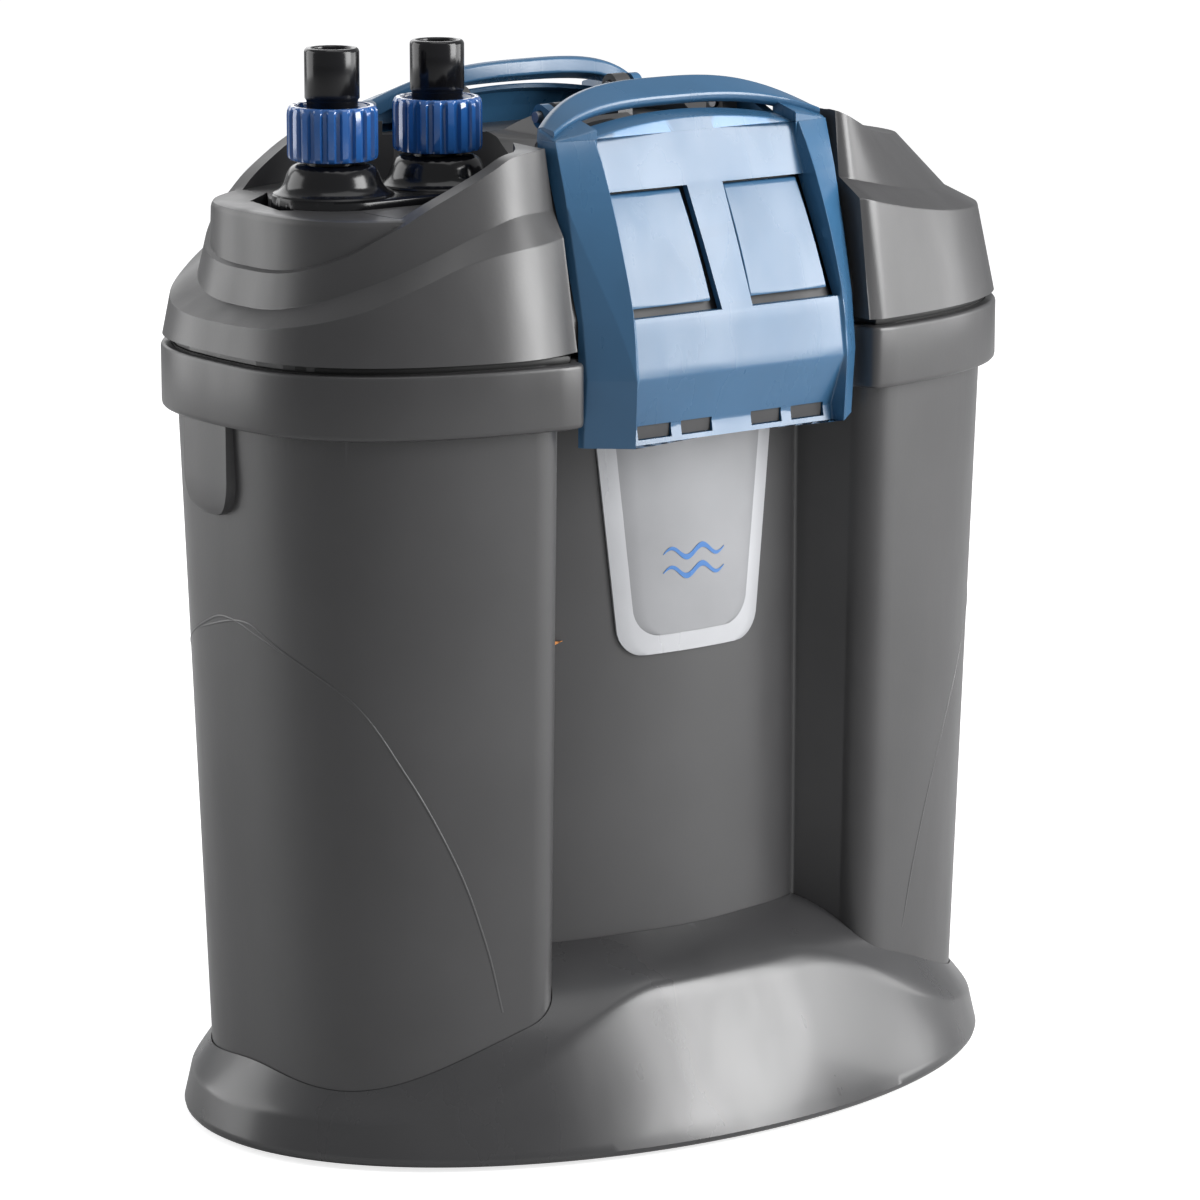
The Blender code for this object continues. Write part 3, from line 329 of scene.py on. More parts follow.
def turned(name, profile, x, material=None, angle=32.0):
    """A closed (radius, height) profile turned about the upright axis through (x, 0)."""
    steps = 96
    bm = bmesh.new()
    rows = []
    for r, z in profile:
        if r < 1e-6:
            rows.append([bm.verts.new((x, 0, z))])
            continue
        rows.append([bm.verts.new((x + r * math.cos(TAU * i / steps),
                                   r * math.sin(TAU * i / steps), z)) for i in range(steps)])
    for a, b in zip(rows, rows[1:] + rows[:1]):
        if len(a) == 1 and len(b) == 1:
            continue
        for i in range(steps):
            j = (i + 1) % steps
            if len(a) == 1:
                bm.faces.new((a[0], b[j], b[i]))
            elif len(b) == 1:
                bm.faces.new((a[i], a[j], b[0]))
            else:
                bm.faces.new((a[i], a[j], b[j], b[i]))
    return close_mesh(name, bm, material, angle)


def bake_modifiers(obj):
    bpy.context.view_layer.update()
    graph = bpy.context.evaluated_depsgraph_get()
    mesh = bpy.data.meshes.new_from_object(obj.evaluated_get(graph))
    obj.modifiers.clear()
    obj.data = mesh
    return obj


def crisp(obj, angle):
    """Keeps broad faces evenly shaded right up to their creases."""
    obj.data.set_sharp_from_angle(angle=math.radians(angle))
    step = obj.modifiers.new("crisp", "WEIGHTED_NORMAL")
    step.mode = "FACE_AREA"
    step.weight = 60
    step.keep_sharp = True
    return bake_modifiers(obj)


def apply_modifiers(obj, angle=32.0):
    bake_modifiers(obj)
    obj.data.shade_smooth()
    obj.data.set_sharp_from_angle(angle=math.radians(angle))


def combine(obj, others, operation="DIFFERENCE"):
    """Joins or cuts obj with the others and removes them."""
    for other in others:
        step = obj.modifiers.new("cut", "BOOLEAN")
        step.operation = operation
        step.solver = "EXACT"
        step.object = other
        step.material_mode = "INDEX"
    apply_modifiers(obj)
    for other in others:
        bpy.data.objects.remove(other, do_unlink=True)
    return obj


def turn_half(obj):
    """Turns the mesh half round the upright axis, for the rear copy of a front part."""
    obj.data.transform(Matrix.Rotation(math.pi, 4, "Z"))
    return obj


def copy_of(obj, name):
    twin = bpy.data.objects.new(name, obj.data.copy())
    bpy.context.scene.collection.objects.link(twin)
    return twin


def place(obj, body, nodes=()):
    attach(obj, body)
    if nodes:
        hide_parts(*nodes)
    return obj


# ---------------------------------------------------------------- outlines


def smooth(t):
    t = min(1.0, max(0.0, t))
    return t * t * (3 - 2 * t)


def oval_y(x, a, b):
    return b * max(0.0, 1 - abs(x / a) ** OVAL_POWER) ** (1 / OVAL_POWER)


def oval(a, b, power=OVAL_POWER, steps=320):
    points = []
    for i in range(steps):
        t = TAU * i / steps
        c, s = math.cos(t), math.sin(t)
        points.append((a * math.copysign(abs(c) ** (2 / power), c),
                       b * math.copysign(abs(s) ** (2 / power), s)))
    return points


def mirrored(quarter):
    half = quarter if quarter[-1][0] > 0 else quarter[:-1]
    upper = quarter + [(-x, y) for x, y in reversed(half)]
    return upper + [(x, -y) for x, y in reversed(upper[1:-1])]


def softened(points, radius, steps=5):
    """An open path with its inner corners rounded."""
    path = [Vector(points[0])]
    for before, corner, after in zip(points, points[1:], points[2:]):
        before, corner, after = Vector(before), Vector(corner), Vector(after)
        reach = min(radius, (corner - before).length * 0.45, (after - corner).length * 0.45)
        start = corner + (before - corner).normalized() * reach
        end = corner + (after - corner).normalized() * reach
        for i in range(steps + 1):
            t = i / steps
            path.append(start * (1 - t) ** 2 + corner * 2 * t * (1 - t) + end * t * t)
    path.append(Vector(points[-1]))
    return [tuple(p) for p in path]


def lobed(a, b, plain=False):
    """The canister's outline, with small fillets at its corners unless plain."""
    quarter = []
    start_y = oval_y(LOBE_X, a, b)
    end_angle = math.acos((LOBE_X / a) ** (OVAL_POWER / 2))
    for i in range(57):
        x = a * math.cos(end_angle * i / 56) ** (2 / OVAL_POWER)
        quarter.append((x, oval_y(x, a, b)))
    shift = start_y - oval_y(LOBE_X, TOP_A, TOP_B)
    corner = Vector((LOBE_CORNER[0], LOBE_CORNER[1] + shift))
    start, bend = Vector((LOBE_X, start_y)), Vector((LOBE_CORNER[0] + 3.0, start_y + 1.5))
    for i in range(1, 16):
        t = i / 16
        quarter.append(tuple(start * (1 - t) ** 2 + bend * 2 * t * (1 - t) + corner * t * t))
    inner = Vector(RECESS_CORNER)
    sag = RECESS_Y - inner.y
    radius = (inner.x**2 + sag**2) / (2 * sag)
    wall = []
    for i in range(29):
        x = inner.x * 0.985 * (1 - i / 28)
        wall.append((x, RECESS_Y - radius + math.sqrt(radius**2 - x**2)))
    if plain:
        wall = [wall[0]] + [p for p in wall if p[0] < inner.x - 6.0]
        return mirrored(quarter + [tuple(corner), tuple(corner.lerp(inner, 0.85))] + wall)
    bends = softened([quarter[-1], tuple(corner), tuple(corner.lerp(inner, 0.97)), wall[0]], 2.2)
    return mirrored(quarter + bends[1:-1] + wall)


def offset(outline, distance):
    """The outline moved inwards by distance, outwards when negative."""
    count = len(outline)
    points = [Vector(p[:2]) for p in outline]
    moved = []
    for i in range(count):
        before = (points[i] - points[i - 1]).normalized()
        after = (points[(i + 1) % count] - points[i]).normalized()
        normal = Vector((-(before + after).y, (before + after).x)).normalized()
        spread = max(0.5, normal.dot(Vector((-before.y, before.x))))
        moved.append(tuple(points[i] + normal * distance / spread))
    return moved


def body_size(z):
    share = (z - FLOOR_Z) / (COLLAR_Z0 - FLOOR_Z)
    return FOOT_END_A + (TOP_A - FOOT_END_A) * share, FOOT_END_B + (TOP_B - FOOT_END_B) * share


def body_ring(z, inset=0.0):
    if inset:
        return level(offset(lobed(*body_size(z), plain=True), inset), z)
    return level(lobed(*body_size(z)), z)


def notched(inset=0.0):
    """The collar's outline: cut back behind each clamp, with rounded shoulders."""
    quarter = []
    corner = 9.0
    end_angle = math.acos(((NOTCH_X + corner) / COLLAR_A) ** (OVAL_POWER / 2))
    for i in range(61):
        x = COLLAR_A * math.cos(end_angle * i / 60) ** (2 / OVAL_POWER)
        quarter.append((x, oval_y(x, COLLAR_A, COLLAR_B)))
    top = oval_y(NOTCH_X + corner, COLLAR_A, COLLAR_B)
    tail = softened([quarter[-1], (NOTCH_X + 1.5, top - 0.5), (NOTCH_X, NOTCH_Y),
                     (0.0, NOTCH_Y - 0.02)], 5.0, 8)
    outline = mirrored(quarter + tail[1:-1] + [(0.0, NOTCH_Y)])
    return offset(outline, inset) if inset else outline


# ---------------------------------------------------------------- canister


def lug_outline(side, grow=0.0):
    a, b = TOP_A + 2.4 + grow, TOP_B + 2.4 + grow
    points = [(-134.0, -6.5), (-134.0, 24.5)]
    for i in range(17):
        y = 22.0 + grow - (26.0 + 2 * grow) * i / 16
        points.append((-a * (1 - abs(y / b) ** OVAL_POWER) ** (1 / OVAL_POWER), y))
    return [(x * side, y * side) for x, y in points]


def lug(side):
    """Rib under the collar: straight, then drawn in to a round lower end."""
    rings = []
    for i in range(9):
        t = i / 8
        drop = 1 - math.sqrt(max(0.0, 1 - (1 - t) ** 2))
        z = 205.5 + 12.0 * t
        middle = 9.0
        ring = []
        for x, y in lug_outline(1):
            y = middle + (y - middle) * (1 - 0.55 * drop)
            ring.append((side * (x + 1.2 * drop), side * y, z))
        rings.append(ring)
    rings.append([(side * x, side * y, COLLAR_Z0 + 3) for x, y in lug_outline(1)])
    return loft(f"lug_{side}", rings)


# Points along the fine curved rib, as (x, y, z) on the left front lobe.
RIB = ((-141.9, 25.0, 165.0), (-144.0, -1.5, 171.8), (-143.3, -17.4, 168.6),
       (-131.9, -44.8, 152.8), (-117.7, -56.7, 127.2), (-103.5, -63.5, 97.3),
       (-94.3, -66.6, 70.3), (-88.8, -68.0, 47.3))


def on_body(x, y, z):
    """The point of the canister's oval wall in the direction of (x, y), and its way out."""
    a, b = body_size(z)
    reach = (abs(x / a) ** OVAL_POWER + abs(y / b) ** OVAL_POWER) ** (1 / OVAL_POWER)
    px, py = x / reach, y / reach
    out = Vector((math.copysign(abs(px / a) ** (OVAL_POWER - 1) / a, px),
                  math.copysign(abs(py / b) ** (OVAL_POWER - 1) / b, py), 0)).normalized()
    return Vector((px, py, z)), out


def smooth_path(points, per_span):
    """Catmull-Rom path through the points."""
    ends = [Vector(p) for p in points]
    ends = [2 * ends[0] - ends[1]] + ends + [2 * ends[-1] - ends[-2]]
    path = []
    for p0, p1, p2, p3 in zip(ends, ends[1:], ends[2:], ends[3:]):
        for i in range(per_span):
            t = i / per_span
            path.append(0.5 * (2 * p1 + (p2 - p0) * t + (2 * p0 - 5 * p1 + 4 * p2 - p3) * t * t
                               + (3 * p1 - p0 - 3 * p2 + p3) * t**3))
    path.append(ends[-2])
    return path


def rib_mesh(bm, flip_x, flip_y):
    """Adds a thin half-round rib that follows the wall."""
    path = smooth_path(RIB, 10)
    rows = []
    for i, p in enumerate(path):
        ahead = path[min(i + 1, len(path) - 1)] - path[max(i - 1, 0)]
        point, out = on_body(*p)
        side = out.cross(ahead.normalized()).normalized()
        fade = min(1.0, i / 6, (len(path) - 1 - i) / 6)
        row = []
        for across, height in ((-0.65, -0.4), (-0.4, 0.08), (0.0, 0.17), (0.4, 0.08),
                               (0.65, -0.4)):
            lift = height * fade if height > 0 else height
            q = point + side * across + out * lift
            row.append(bm.verts.new((q.x * flip_x, q.y * flip_y, q.z)))
        rows.append(row)
    for lower, upper in zip(rows, rows[1:]):
        for i in range(5):
            j = (i + 1) % 5
            bm.faces.new((lower[i], lower[j], upper[j], upper[i]))
    bm.faces.new(rows[0])
    bm.faces.new(rows[-1])


def make_canister():
    levels = [FLOOR_Z + (COLLAR_Z0 + 2 - FLOOR_Z) * i / 12 for i in range(13)]
    shell = loft("canister_shell", [body_ring(z) for z in levels], HOUSING, angle=40)
    edges = ((1.6, COLLAR_Z0), (0.7, COLLAR_Z0 + 0.25), (0.2, COLLAR_Z0 + 0.8),
             (0.0, COLLAR_Z0 + 1.8), (0.0, COLLAR_Z1 - 1.4), (0.15, COLLAR_Z1 - 0.7),
             (0.5, COLLAR_Z1 - 0.2), (1.2, COLLAR_Z1))
    collar = loft("collar", [level(notched(d), z) for d, z in edges])
    cavity = loft("cavity", [body_ring(z, 3.0) for z in (FLOOR_Z + 3.0, 100.0, COLLAR_Z1 + 3)])
    seat = loft("seat", [body_ring(COLLAR_Z1 - 3.5, -1.4), body_ring(COLLAR_Z1 + 3, -1.4)])
    combine(shell, [collar, lug(1), lug(-1)], "UNION")
    combine(shell, [cavity, seat])
    apply_modifiers(shell, 40)
    place(shell, "canister", ["container"])
    bm = bmesh.new()
    for flip_x in (1, -1):
        rib_mesh(bm, flip_x, 1)
        rib_mesh(bm, flip_x, -1)
    place(close_mesh("canister_ribs", bm, HOUSING, 60), "canister")


# ---------------------------------------------------------------- foot


def foot_section(turn):
    """Section of the foot at an angle: (share of the way out, height), from the inside out."""
    inner, inner_z, rim_z = 0.42, 62.5, 3.6
    side = smooth((abs(math.cos(turn)) - 0.2) / 0.68)
    crest, crest_z = 0.775 + 0.205 * side, 48.8 - 33.8 * side
    steep = 1.0 + 0.42 * (1 - side)
    deck = [(inner + (crest - inner) * q, inner_z - (inner_z - crest_z) * q**1.95)
            for q in (0.0, 0.2, 0.34, 0.46, 0.56, 0.65, 0.73, 0.80, 0.86, 0.91)]
    flank = [(crest + (1 - crest) * q,
              crest_z - (crest_z - rim_z) * (steep * q + (1 - steep) * q * q))
             for q in (0.09, 0.17, 0.26, 0.36, 0.47, 0.58, 0.69, 0.80, 0.90, 1.0)]
    start, bend, end = Vector(deck[-1]), Vector((crest, crest_z + 0.4)), Vector(flank[0])
    curve = [start * (1 - t) ** 2 + bend * 2 * t * (1 - t) + end * t * t
             for t in (0.17, 0.33, 0.5, 0.67, 0.83)]
    return deck + [tuple(v) for v in curve] + flank


def foot_point(turn, share, z):
    """Point of the foot on its oval, which is squarer near the canister."""
    power = 2.03 + 0.3 * (1 - smooth((share - 0.72) / 0.28))
    c, s = math.cos(turn), math.sin(turn)
    return (FOOT_A * share * math.copysign(abs(c) ** (2 / power), c),
            FOOT_B * share * math.copysign(abs(s) ** (2 / power), s), z)


def make_foot():
    steps, clear = 288, 0.35
    turns = [TAU * i / steps for i in range(steps)]
    sections = [foot_section(turn) for turn in turns]
    rings = [[foot_point(turn, *section[k]) for turn, section in zip(turns, sections)]
             for k in range(len(sections[0]) - 1, -1, -1)]
    widest = rings[0]
    under = [level(offset(widest, shrink), z)
             for shrink, z in ((3.6, 1.2), (2.2, 1.3), (1.0, 1.7), (0.3, 2.5))]
    foot = loft("flared_foot", under + rings, FOOT, angle=60)
    well = loft("well", [body_ring(z, -clear) for z in (8.7, 20.0, 90.0)])
    hollow = prism("hollow", oval(FOOT_A - 9.0, FOOT_B - 9.0, 2.1, 96), -1.0, 5.7)
    combine(foot, [well, hollow])
    bosses = [rod(f"boss_{i}", (x, y, 0), 9.5, 2.6, 7.0)
              for i, (x, y) in enumerate([(a, b) for a in (-88.0, 88.0) for b in (-52.0, 52.0)])]
    combine(foot, bosses, "UNION")
    apply_modifiers(foot, 50)
    place(foot, "canister", ["base"])


# ---------------------------------------------------------------- badge


def wall_y(x):
    sag = RECESS_Y - RECESS_CORNER[1]
    radius = (RECESS_CORNER[0] ** 2 + sag**2) / (2 * sag)
    return -(RECESS_Y - radius + math.sqrt(radius**2 - x**2))


BADGE_LOW, BADGE_HIGH, BADGE_CORNER = 153.3, 230.0, 9.0


def badge_half(z, inset):
    """Half width of the badge, with round lower corners."""
    radius = BADGE_CORNER
    drop = radius - min(radius, z - BADGE_LOW - inset)
    corner = radius - math.sqrt(max(0.0, radius * radius - drop * drop))
    return 27.9 + 0.112 * (z - BADGE_LOW) - inset - corner


def badge_sheet(name, inset, front, back, material):
    """Curved sheet on the recess wall, standing off it by back to front."""
    columns, eased_edge = 20, 0.35
    rings = []
    low, high = BADGE_LOW + inset, BADGE_HIGH - inset
    for t in (0.0, 0.15, 0.4, 0.8, 1.4, 2.2, 3.2, 4.4, 6.0, 8.0, 12.0, 30.0, 50.0, high - low):
        z = low + t
        half = badge_half(z, inset)
        ring = []
        for k in range(columns + 1):
            x = half * (2 * k / columns - 1)
            edge = eased_edge if k in (0, columns) or t == 0.0 else 0.0
            ring.append((x, wall_y(x) - front + edge, z))
        for k in range(columns + 1):
            x = half * (1 - 2 * k / columns)
            ring.append((x, wall_y(x) - back, z))
        rings.append(ring)
    return loft(name, rings, material)


def badge_wave(row):
    """A plain raised wave that thins out at both ends."""
    width, top_z, row_drop, height, thickness = 25.0, 186.0, 6.2, 1.7, 0.95
    steps, waves = 48, 2
    bm = bmesh.new()
    rows = []
    for i in range(steps + 1):
        x = -width / 2 + width * i / steps
        z = top_z - row_drop * row + height * math.sin(TAU * waves * i / steps)
        half = thickness * math.sin(math.pi * (i + 0.6) / (steps + 1.2)) ** 0.6
        front, back = wall_y(x) - 1.95, wall_y(x) - 1.6
        rows.append([bm.verts.new(p) for p in ((x, front, z - half), (x, front, z + half),
                                               (x, back, z + half), (x, back, z - half))])
    for lower, upper in zip(rows, rows[1:]):
        for i in range(4):
            bm.faces.new((lower[i], lower[(i + 1) % 4], upper[(i + 1) % 4], upper[i]))
    bm.faces.new(rows[0])
    bm.faces.new(rows[-1])
    return close_mesh(f"badge_wave_{row}", bm, GLYPH)


def make_badge():
    place(badge_sheet("badge_plate_skin", 0.0, 1.4, 0.4, SILVER), "canister",
          ["badge_plate"])
    place(badge_sheet("badge_field", 6.2, 1.75, 1.3, PALE), "canister",
          ["badge_panel"])
    waves = [badge_wave(row) for row in range(2)]
    for wave in waves:
        place(wave, "canister")


# ---------------------------------------------------------------- lid


def between(x, table):
    """Linear read of a table of (distance from the middle, value)."""
    x = abs(x)
    for (x0, v0), (x1, v1) in zip(table, table[1:]):
        if x <= x1:
            return v0 + (v1 - v0) * max(0.0, x - x0) / (x1 - x0)
    return table[-1][1]


def eased(table, steps=6):
    """The table with a smooth curve through its rows."""
    path = smooth_path([(x, v, 0.0) for x, v in table], steps)
    return tuple((p.x, p.y) for p in path)


SKIRT_EDGE = eased(((57.4, 293.6), (80.0, 291.5), (90.0, 290.0), (99.0, 287.2), (107.0, 283.8),
                    (117.0, 279.3), (125.0, 275.7), (135.0, 272.0), (141.0, 269.8),
                    (148.0, 266.8)))
LEDGE_EDGE = eased(((57.4, 301.5), (75.0, 301.3), (89.0, 296.4), (102.0, 290.5), (114.0, 284.8),
                    (125.0, 279.6), (134.5, 274.4), (138.0, 271.8)))
TIER_EDGE = eased(((57.4, 320.5), (72.0, 319.5), (81.0, 315.6), (91.0, 310.6), (101.0, 305.3),
                   (108.0, 300.8), (116.0, 296.0), (122.5, 291.4), (129.5, 287.0),
                   (136.0, 283.0)))


def along(x):
    """How far x is from a clamp (0) to the end of the lid (1)."""
    return min(1.0, max(0.0, (abs(x) - NOTCH_X) / (COLLAR_A - NOTCH_X)))


# Heights and insets of the lid's three edges along x: stepped at the hose end, plain beyond.


def skirt_top(x):
    u = along(x)
    return between(x, SKIRT_EDGE) if x < 0 else 297.5 - 24 * u + 14 * u * u


def ledge_top(x):
    u = along(x)
    return between(x, LEDGE_EDGE) if x < 0 else 303.5 - 24 * u + 13 * u * u


def tier_top(x):
    u = along(x)
    return between(x, TIER_EDGE) if x < 0 else 325.0 - 42 * u + 30 * u * u


def skirt_inset(x):
    return 0.5 + 0.2 * (skirt_top(x) - LID_Z) if x < 0 else 6.0


def ledge_inset(x):
    return 13.0 - 2.0 * along(x) if x < 0 else 16.0


def tier_inset(x):
    return 17.0 - 4.0 * along(x) ** 1.5 if x < 0 else 18.5 + 13.0 * smooth((x - 62.0) / 60.0)


def shoulder(x):
    """How far the plan is drawn in beside the clamps."""
    depth, width = (8.0, 30.0) if x < 0 else (2.5, 5.0)
    t = min(1.0, max(0.0, (abs(x) - NOTCH_X) / width))
    return depth * (1 - t) ** 2


def blend_rule(rule_a, rule_b, share):
    return lambda x: rule_a(x) * (1 - share) + rule_b(x) * share


def floor_rule(height):
    return lambda x: max(tier_top(x), height) if x < 0 else tier_top(x)


def saddle_top(x):
    """Height of the ridge between the clamps and of the roof beyond it."""
    roof = floor_rule(DRUM_Z - 0.15)(x)
    roof += 0.6 * (smooth((x + 100.0) / 20.0) if x < 0 else 1.0)
    return max(roof, SADDLE_Z - 5.2 * (x / 30.0) ** 2)


def lid_ring(inset, height, sink=0.0):
    """Plan ring of the lid; inset and height are numbers or rules of x."""
    ring = []
    for x, y in oval(COLLAR_A, COLLAR_B):
        depth = (inset(x) if callable(inset) else inset) + sink
        px, py = x * (COLLAR_A - depth) / COLLAR_A, y * (COLLAR_B - depth) / COLLAR_B
        py -= math.copysign(min(abs(py), shoulder(px)), py)
        ring.append((px, py, height(px) - sink if callable(height) else height))
    return ring


def lid_rings(sink=0.0, bottom=LID_Z):
    """Rings of the lid's outside, with each edge held by two close rings."""
    near = 0.014
    plain = [
        (lambda x: 0.5, lambda x: bottom + sink),
        (skirt_inset, skirt_top),
        (ledge_inset, ledge_top),
        (tier_inset, tier_top),
        (lambda x: tier_inset(x) + 1.5, floor_rule(282.0)),
        (lambda x: tier_inset(x) + 1.9, floor_rule(299.0)),
    ]
    rings = [lid_ring(*plain[0], sink)]
    for before, edge, after in zip(plain, plain[1:], plain[2:]):
        for other in (before, after):
            rule = [blend_rule(e, o, near) for e, o in zip(edge, other)]
            rings.append(lid_ring(rule[0], rule[1], sink))
    for extra, height in ((1.9, 299.0), (2.1, 300.0), (2.6, 300.9), (3.6, 301.3),
                          (5.0, DRUM_Z - 0.15)):
        rings.append(lid_ring(lambda x, e=extra: tier_inset(x) + e, floor_rule(height), sink))
    rings.append([(x, y * 0.55, saddle_top(x) - sink) for x, y, z in rings[-1]])
    return rings


def recess(name, side, clear=0.0):
    """What a clamp needs cut from the lid."""
    profile = [(-90.0, 246.0), (-NOTCH_Y + clear, 246.0), (-NOTCH_Y + clear, 268.0 - clear),
               (-53.0 + clear, 306.0 - clear), (-45.0 + clear, 316.0 - clear),
               (-14.5 + clear, 317.5 - clear), (-14.5 + clear, 345.0), (-90.0, 345.0)]
    half = NOTCH_X + clear
    return slab(name, [(-side * y, z) for y, z in profile], -half, half)


def gully():
    """Round the hose unit: inside the flanks, and a scooped wall at the saddle."""
    arc = [(HOSES_X[1] + 33.0 * math.cos(t), 33.0 * math.sin(t))
           for t in (math.radians(-80 + 160 * i / 48) for i in range(49))]
    flank = sorted(((x, y) for x, y, _ in lid_ring(lambda x: tier_inset(x) + 5.6, 0.0)
                    if -129.0 < x < -67.0 and y > 0), reverse=True)
    upper = [(-64.0, 46.0)] + flank
    return prism("gully", arc + upper + [(x, -y) for x, y in reversed(upper)], DRUM_Z, 350.0)


def stadium(radius, steps=32):
    points = []
    for centre, start in ((HOSES_X[1] + 2.0, -90), (HOSES_X[0] + 1.0, 90)):
        for i in range(steps + 1):
            t = math.radians(start + 180 * i / steps)
            points.append((centre + radius * math.cos(t), radius * math.sin(t)))
    return points


# Plan of the arrow-like notch beside the hose unit.
ARROW = ((-104.0, 33.9), (-119.6, 20.4), (-125.4, -4.8), (-121.6, -8.0), (-113.5, 16.0),
         (-111.5, 22.0))


def hinge_ear(side, x):
    outline = [(-5.0, -12.5), (5.0, -12.5)]
    outline += [(4.2 * math.cos(math.pi * i / 16), 4.2 * math.sin(math.pi * i / 16))
                for i in range(17)]
    outline = [(side * PIVOT_Y + y, PIVOT_Z + z) for y, z in outline]
    return slab(f"ear_{side}_{int(x)}", outline, x - 3.0, x + 3.0)


def make_lid():
    lid = loft("lid_shell", lid_rings(), HOUSING)
    cavity = loft("lid_cavity", lid_rings(3.0, 252.0))
    keep_solid = [recess("wall_1", 1, 3.0), recess("wall_2", -1, 3.0),
                  box("floor", (-135, -60, 278.0), (-24, 60, 400))]
    combine(cavity, keep_solid)
    cuts = [recess("recess_1", 1), recess("recess_2", -1), gully(), cavity]
    combine(lid, cuts)
    combine(lid, [hinge_ear(side, x) for side in (1, -1) for x in (-33.0, 33.0)], "UNION")
    holes = [rod(f"pin_{s}", (0, s * PIVOT_Y, PIVOT_Z), 2.1, -60, 60, axis="X") for s in (1, -1)]
    holes.append(prism("pocket", stadium(20.9), 292.0, 330.0))
    holes.append(prism("arrow", ARROW, 297.0, 310.0))
    holes += [rod(f"port_{i}", (x, 0, 0), 12.6, 270.0, 300.0) for i, x in enumerate(HOSES_X)]
    holes.append(rod("gland_hole", (96.0, 0, 274.0), 5.3, 50.0, 90.0, axis="Y"))
    combine(lid, holes)
    crisp(lid, 28)
    place(lid, "head", ["lid"])


# ---------------------------------------------------------------- clamps


# The clamp, from its lower edge up: sunk face, proud side edges and outer edges.
FACE = ((-75.6, 227.4, 41.5), (-74.6, 232.6, 41.6), (-80.6, 249.1, 41.8), (-78.2, 266.8, 41.6),
        (-69.4, 287.0, 41.2), (-60.2, 307.0, 40.6), (-54.5, 322.4, 40.1))
CREST = ((-80.0, 227.4, 42.6), (-81.3, 249.1, 42.8), (-80.1, 262.0, 42.7), (-78.6, 270.9, 42.4),
         (-75.9, 279.9, 42.3), (-72.6, 289.5, 42.2), (-69.4, 298.0, 42.0), (-65.3, 307.6, 41.8),
         (-61.3, 315.8, 41.5), (-57.4, 322.4, 41.3))
EDGE = ((-69.0, 227.4), (-70.8, 249.1), (-68.8, 266.8), (-64.4, 287.0), (-59.4, 307.0),
        (-54.6, 322.4))
FLANGE = ((-67.2, 227.4), (-67.2, 266.8), (-60.6, 287.0), (-53.6, 307.0), (-48.0, 322.4))
EDGE_X = 55.0
CREASE_Z = (249.1, 302.0)
# Near and far x of the slots along the lower edge, on each side of the middle.
SLOTS = ((8.0, 20.5), (24.5, 38.0))


def at_z(table, z, column=0):
    """Linear read of column in rows that hold their height at index 1."""
    for low, high in zip(table, table[1:]):
        if z <= high[1]:
            share = max(0.0, z - low[1]) / (high[1] - low[1])
            return low[column] + (high[column] - low[column]) * share
    return table[-1][column]


def clamp_ring(z):
    """Closed plan section of the clamp's shell: sunk face, crest, creased cheek, flange."""
    y, half = at_z(FACE, z), at_z(FACE, z, 2)
    crest = Vector((at_z(CREST, z, 2), at_z(CREST, z)))
    edge_y, end_y = at_z(EDGE, z), at_z(FLANGE, z)
    low, high = CREASE_Z
    edge = Vector((EDGE_X, edge_y))
    crease = crest.lerp(edge, 0.03 if z <= low else 0.97)
    if low < z < high:
        start = Vector((at_z(CREST, low, 2), at_z(CREST, low)))
        end = Vector((EDGE_X, at_z(EDGE, high)))
        share = min(0.97, max(0.03, (z - low) / (high - low)))
        crease = start.lerp(end, share)
        crease.y = min(crease.y, crest.lerp(edge, share).y - 0.25)
    outer = softened([(half * 0.5, y), (half, y), tuple(crest), tuple(crease), tuple(edge),
                      (EDGE_X + 0.6, end_y)], 0.45, 3)
    inner = softened([(EDGE_X - 2.0, end_y), (EDGE_X - 2.2, edge_y + 1.6),
                      (half + 1.0, y + 3.4), (half - 1.6, y + 2.6), (half * 0.5, y + 2.6)], 0.8, 2)
    path = [(-px, py) for px, py in reversed(outer)] + outer
    path += inner + [(-px, py) for px, py in reversed(inner)]
    return level(path, z)


def clamp_levels():
    marks = sorted({row[1] for row in FACE} | {CREASE_Z[1]})
    levels = []
    for a, b in zip(marks, marks[1:]):
        soft = 0.5
        levels += [a + soft, b - soft]
        count = int((b - a) / 3.0)
        levels += [a + (b - a) * i / count for i in range(1, count)]
    return sorted(set([marks[0], marks[-1]] + levels))


def arch_ring(u):
    """Section of the arched grip at u, from -1 at one end to 1 at the other."""
    radius, reach = 0.9, 54.0
    x, bend = reach * u, abs(u) ** 3
    back = Vector((-36.0 - 11.0 * bend, 337.8 - 11.3 * bend))
    front = Vector((-45.0 - 8.0 * bend, 332.8 - 7.3 * bend))
    corners = [front + Vector((2.4, -3.6)), front + Vector((0.2, -2.0)), front, back,
               back + Vector((3.0, -0.6)), back + Vector((3.4, -5.4))]
    soft = []
    for i, corner in enumerate(corners):
        before, after = corners[i - 1], corners[(i + 1) % len(corners)]
        start = corner + (before - corner).normalized() * radius
        end = corner + (after - corner).normalized() * radius
        for k in range(4):
            t = k / 3
            soft.append(start * (1 - t) ** 2 + corner * 2 * t * (1 - t) + end * t * t)
    return [(x, p.x, p.y) for p in soft]


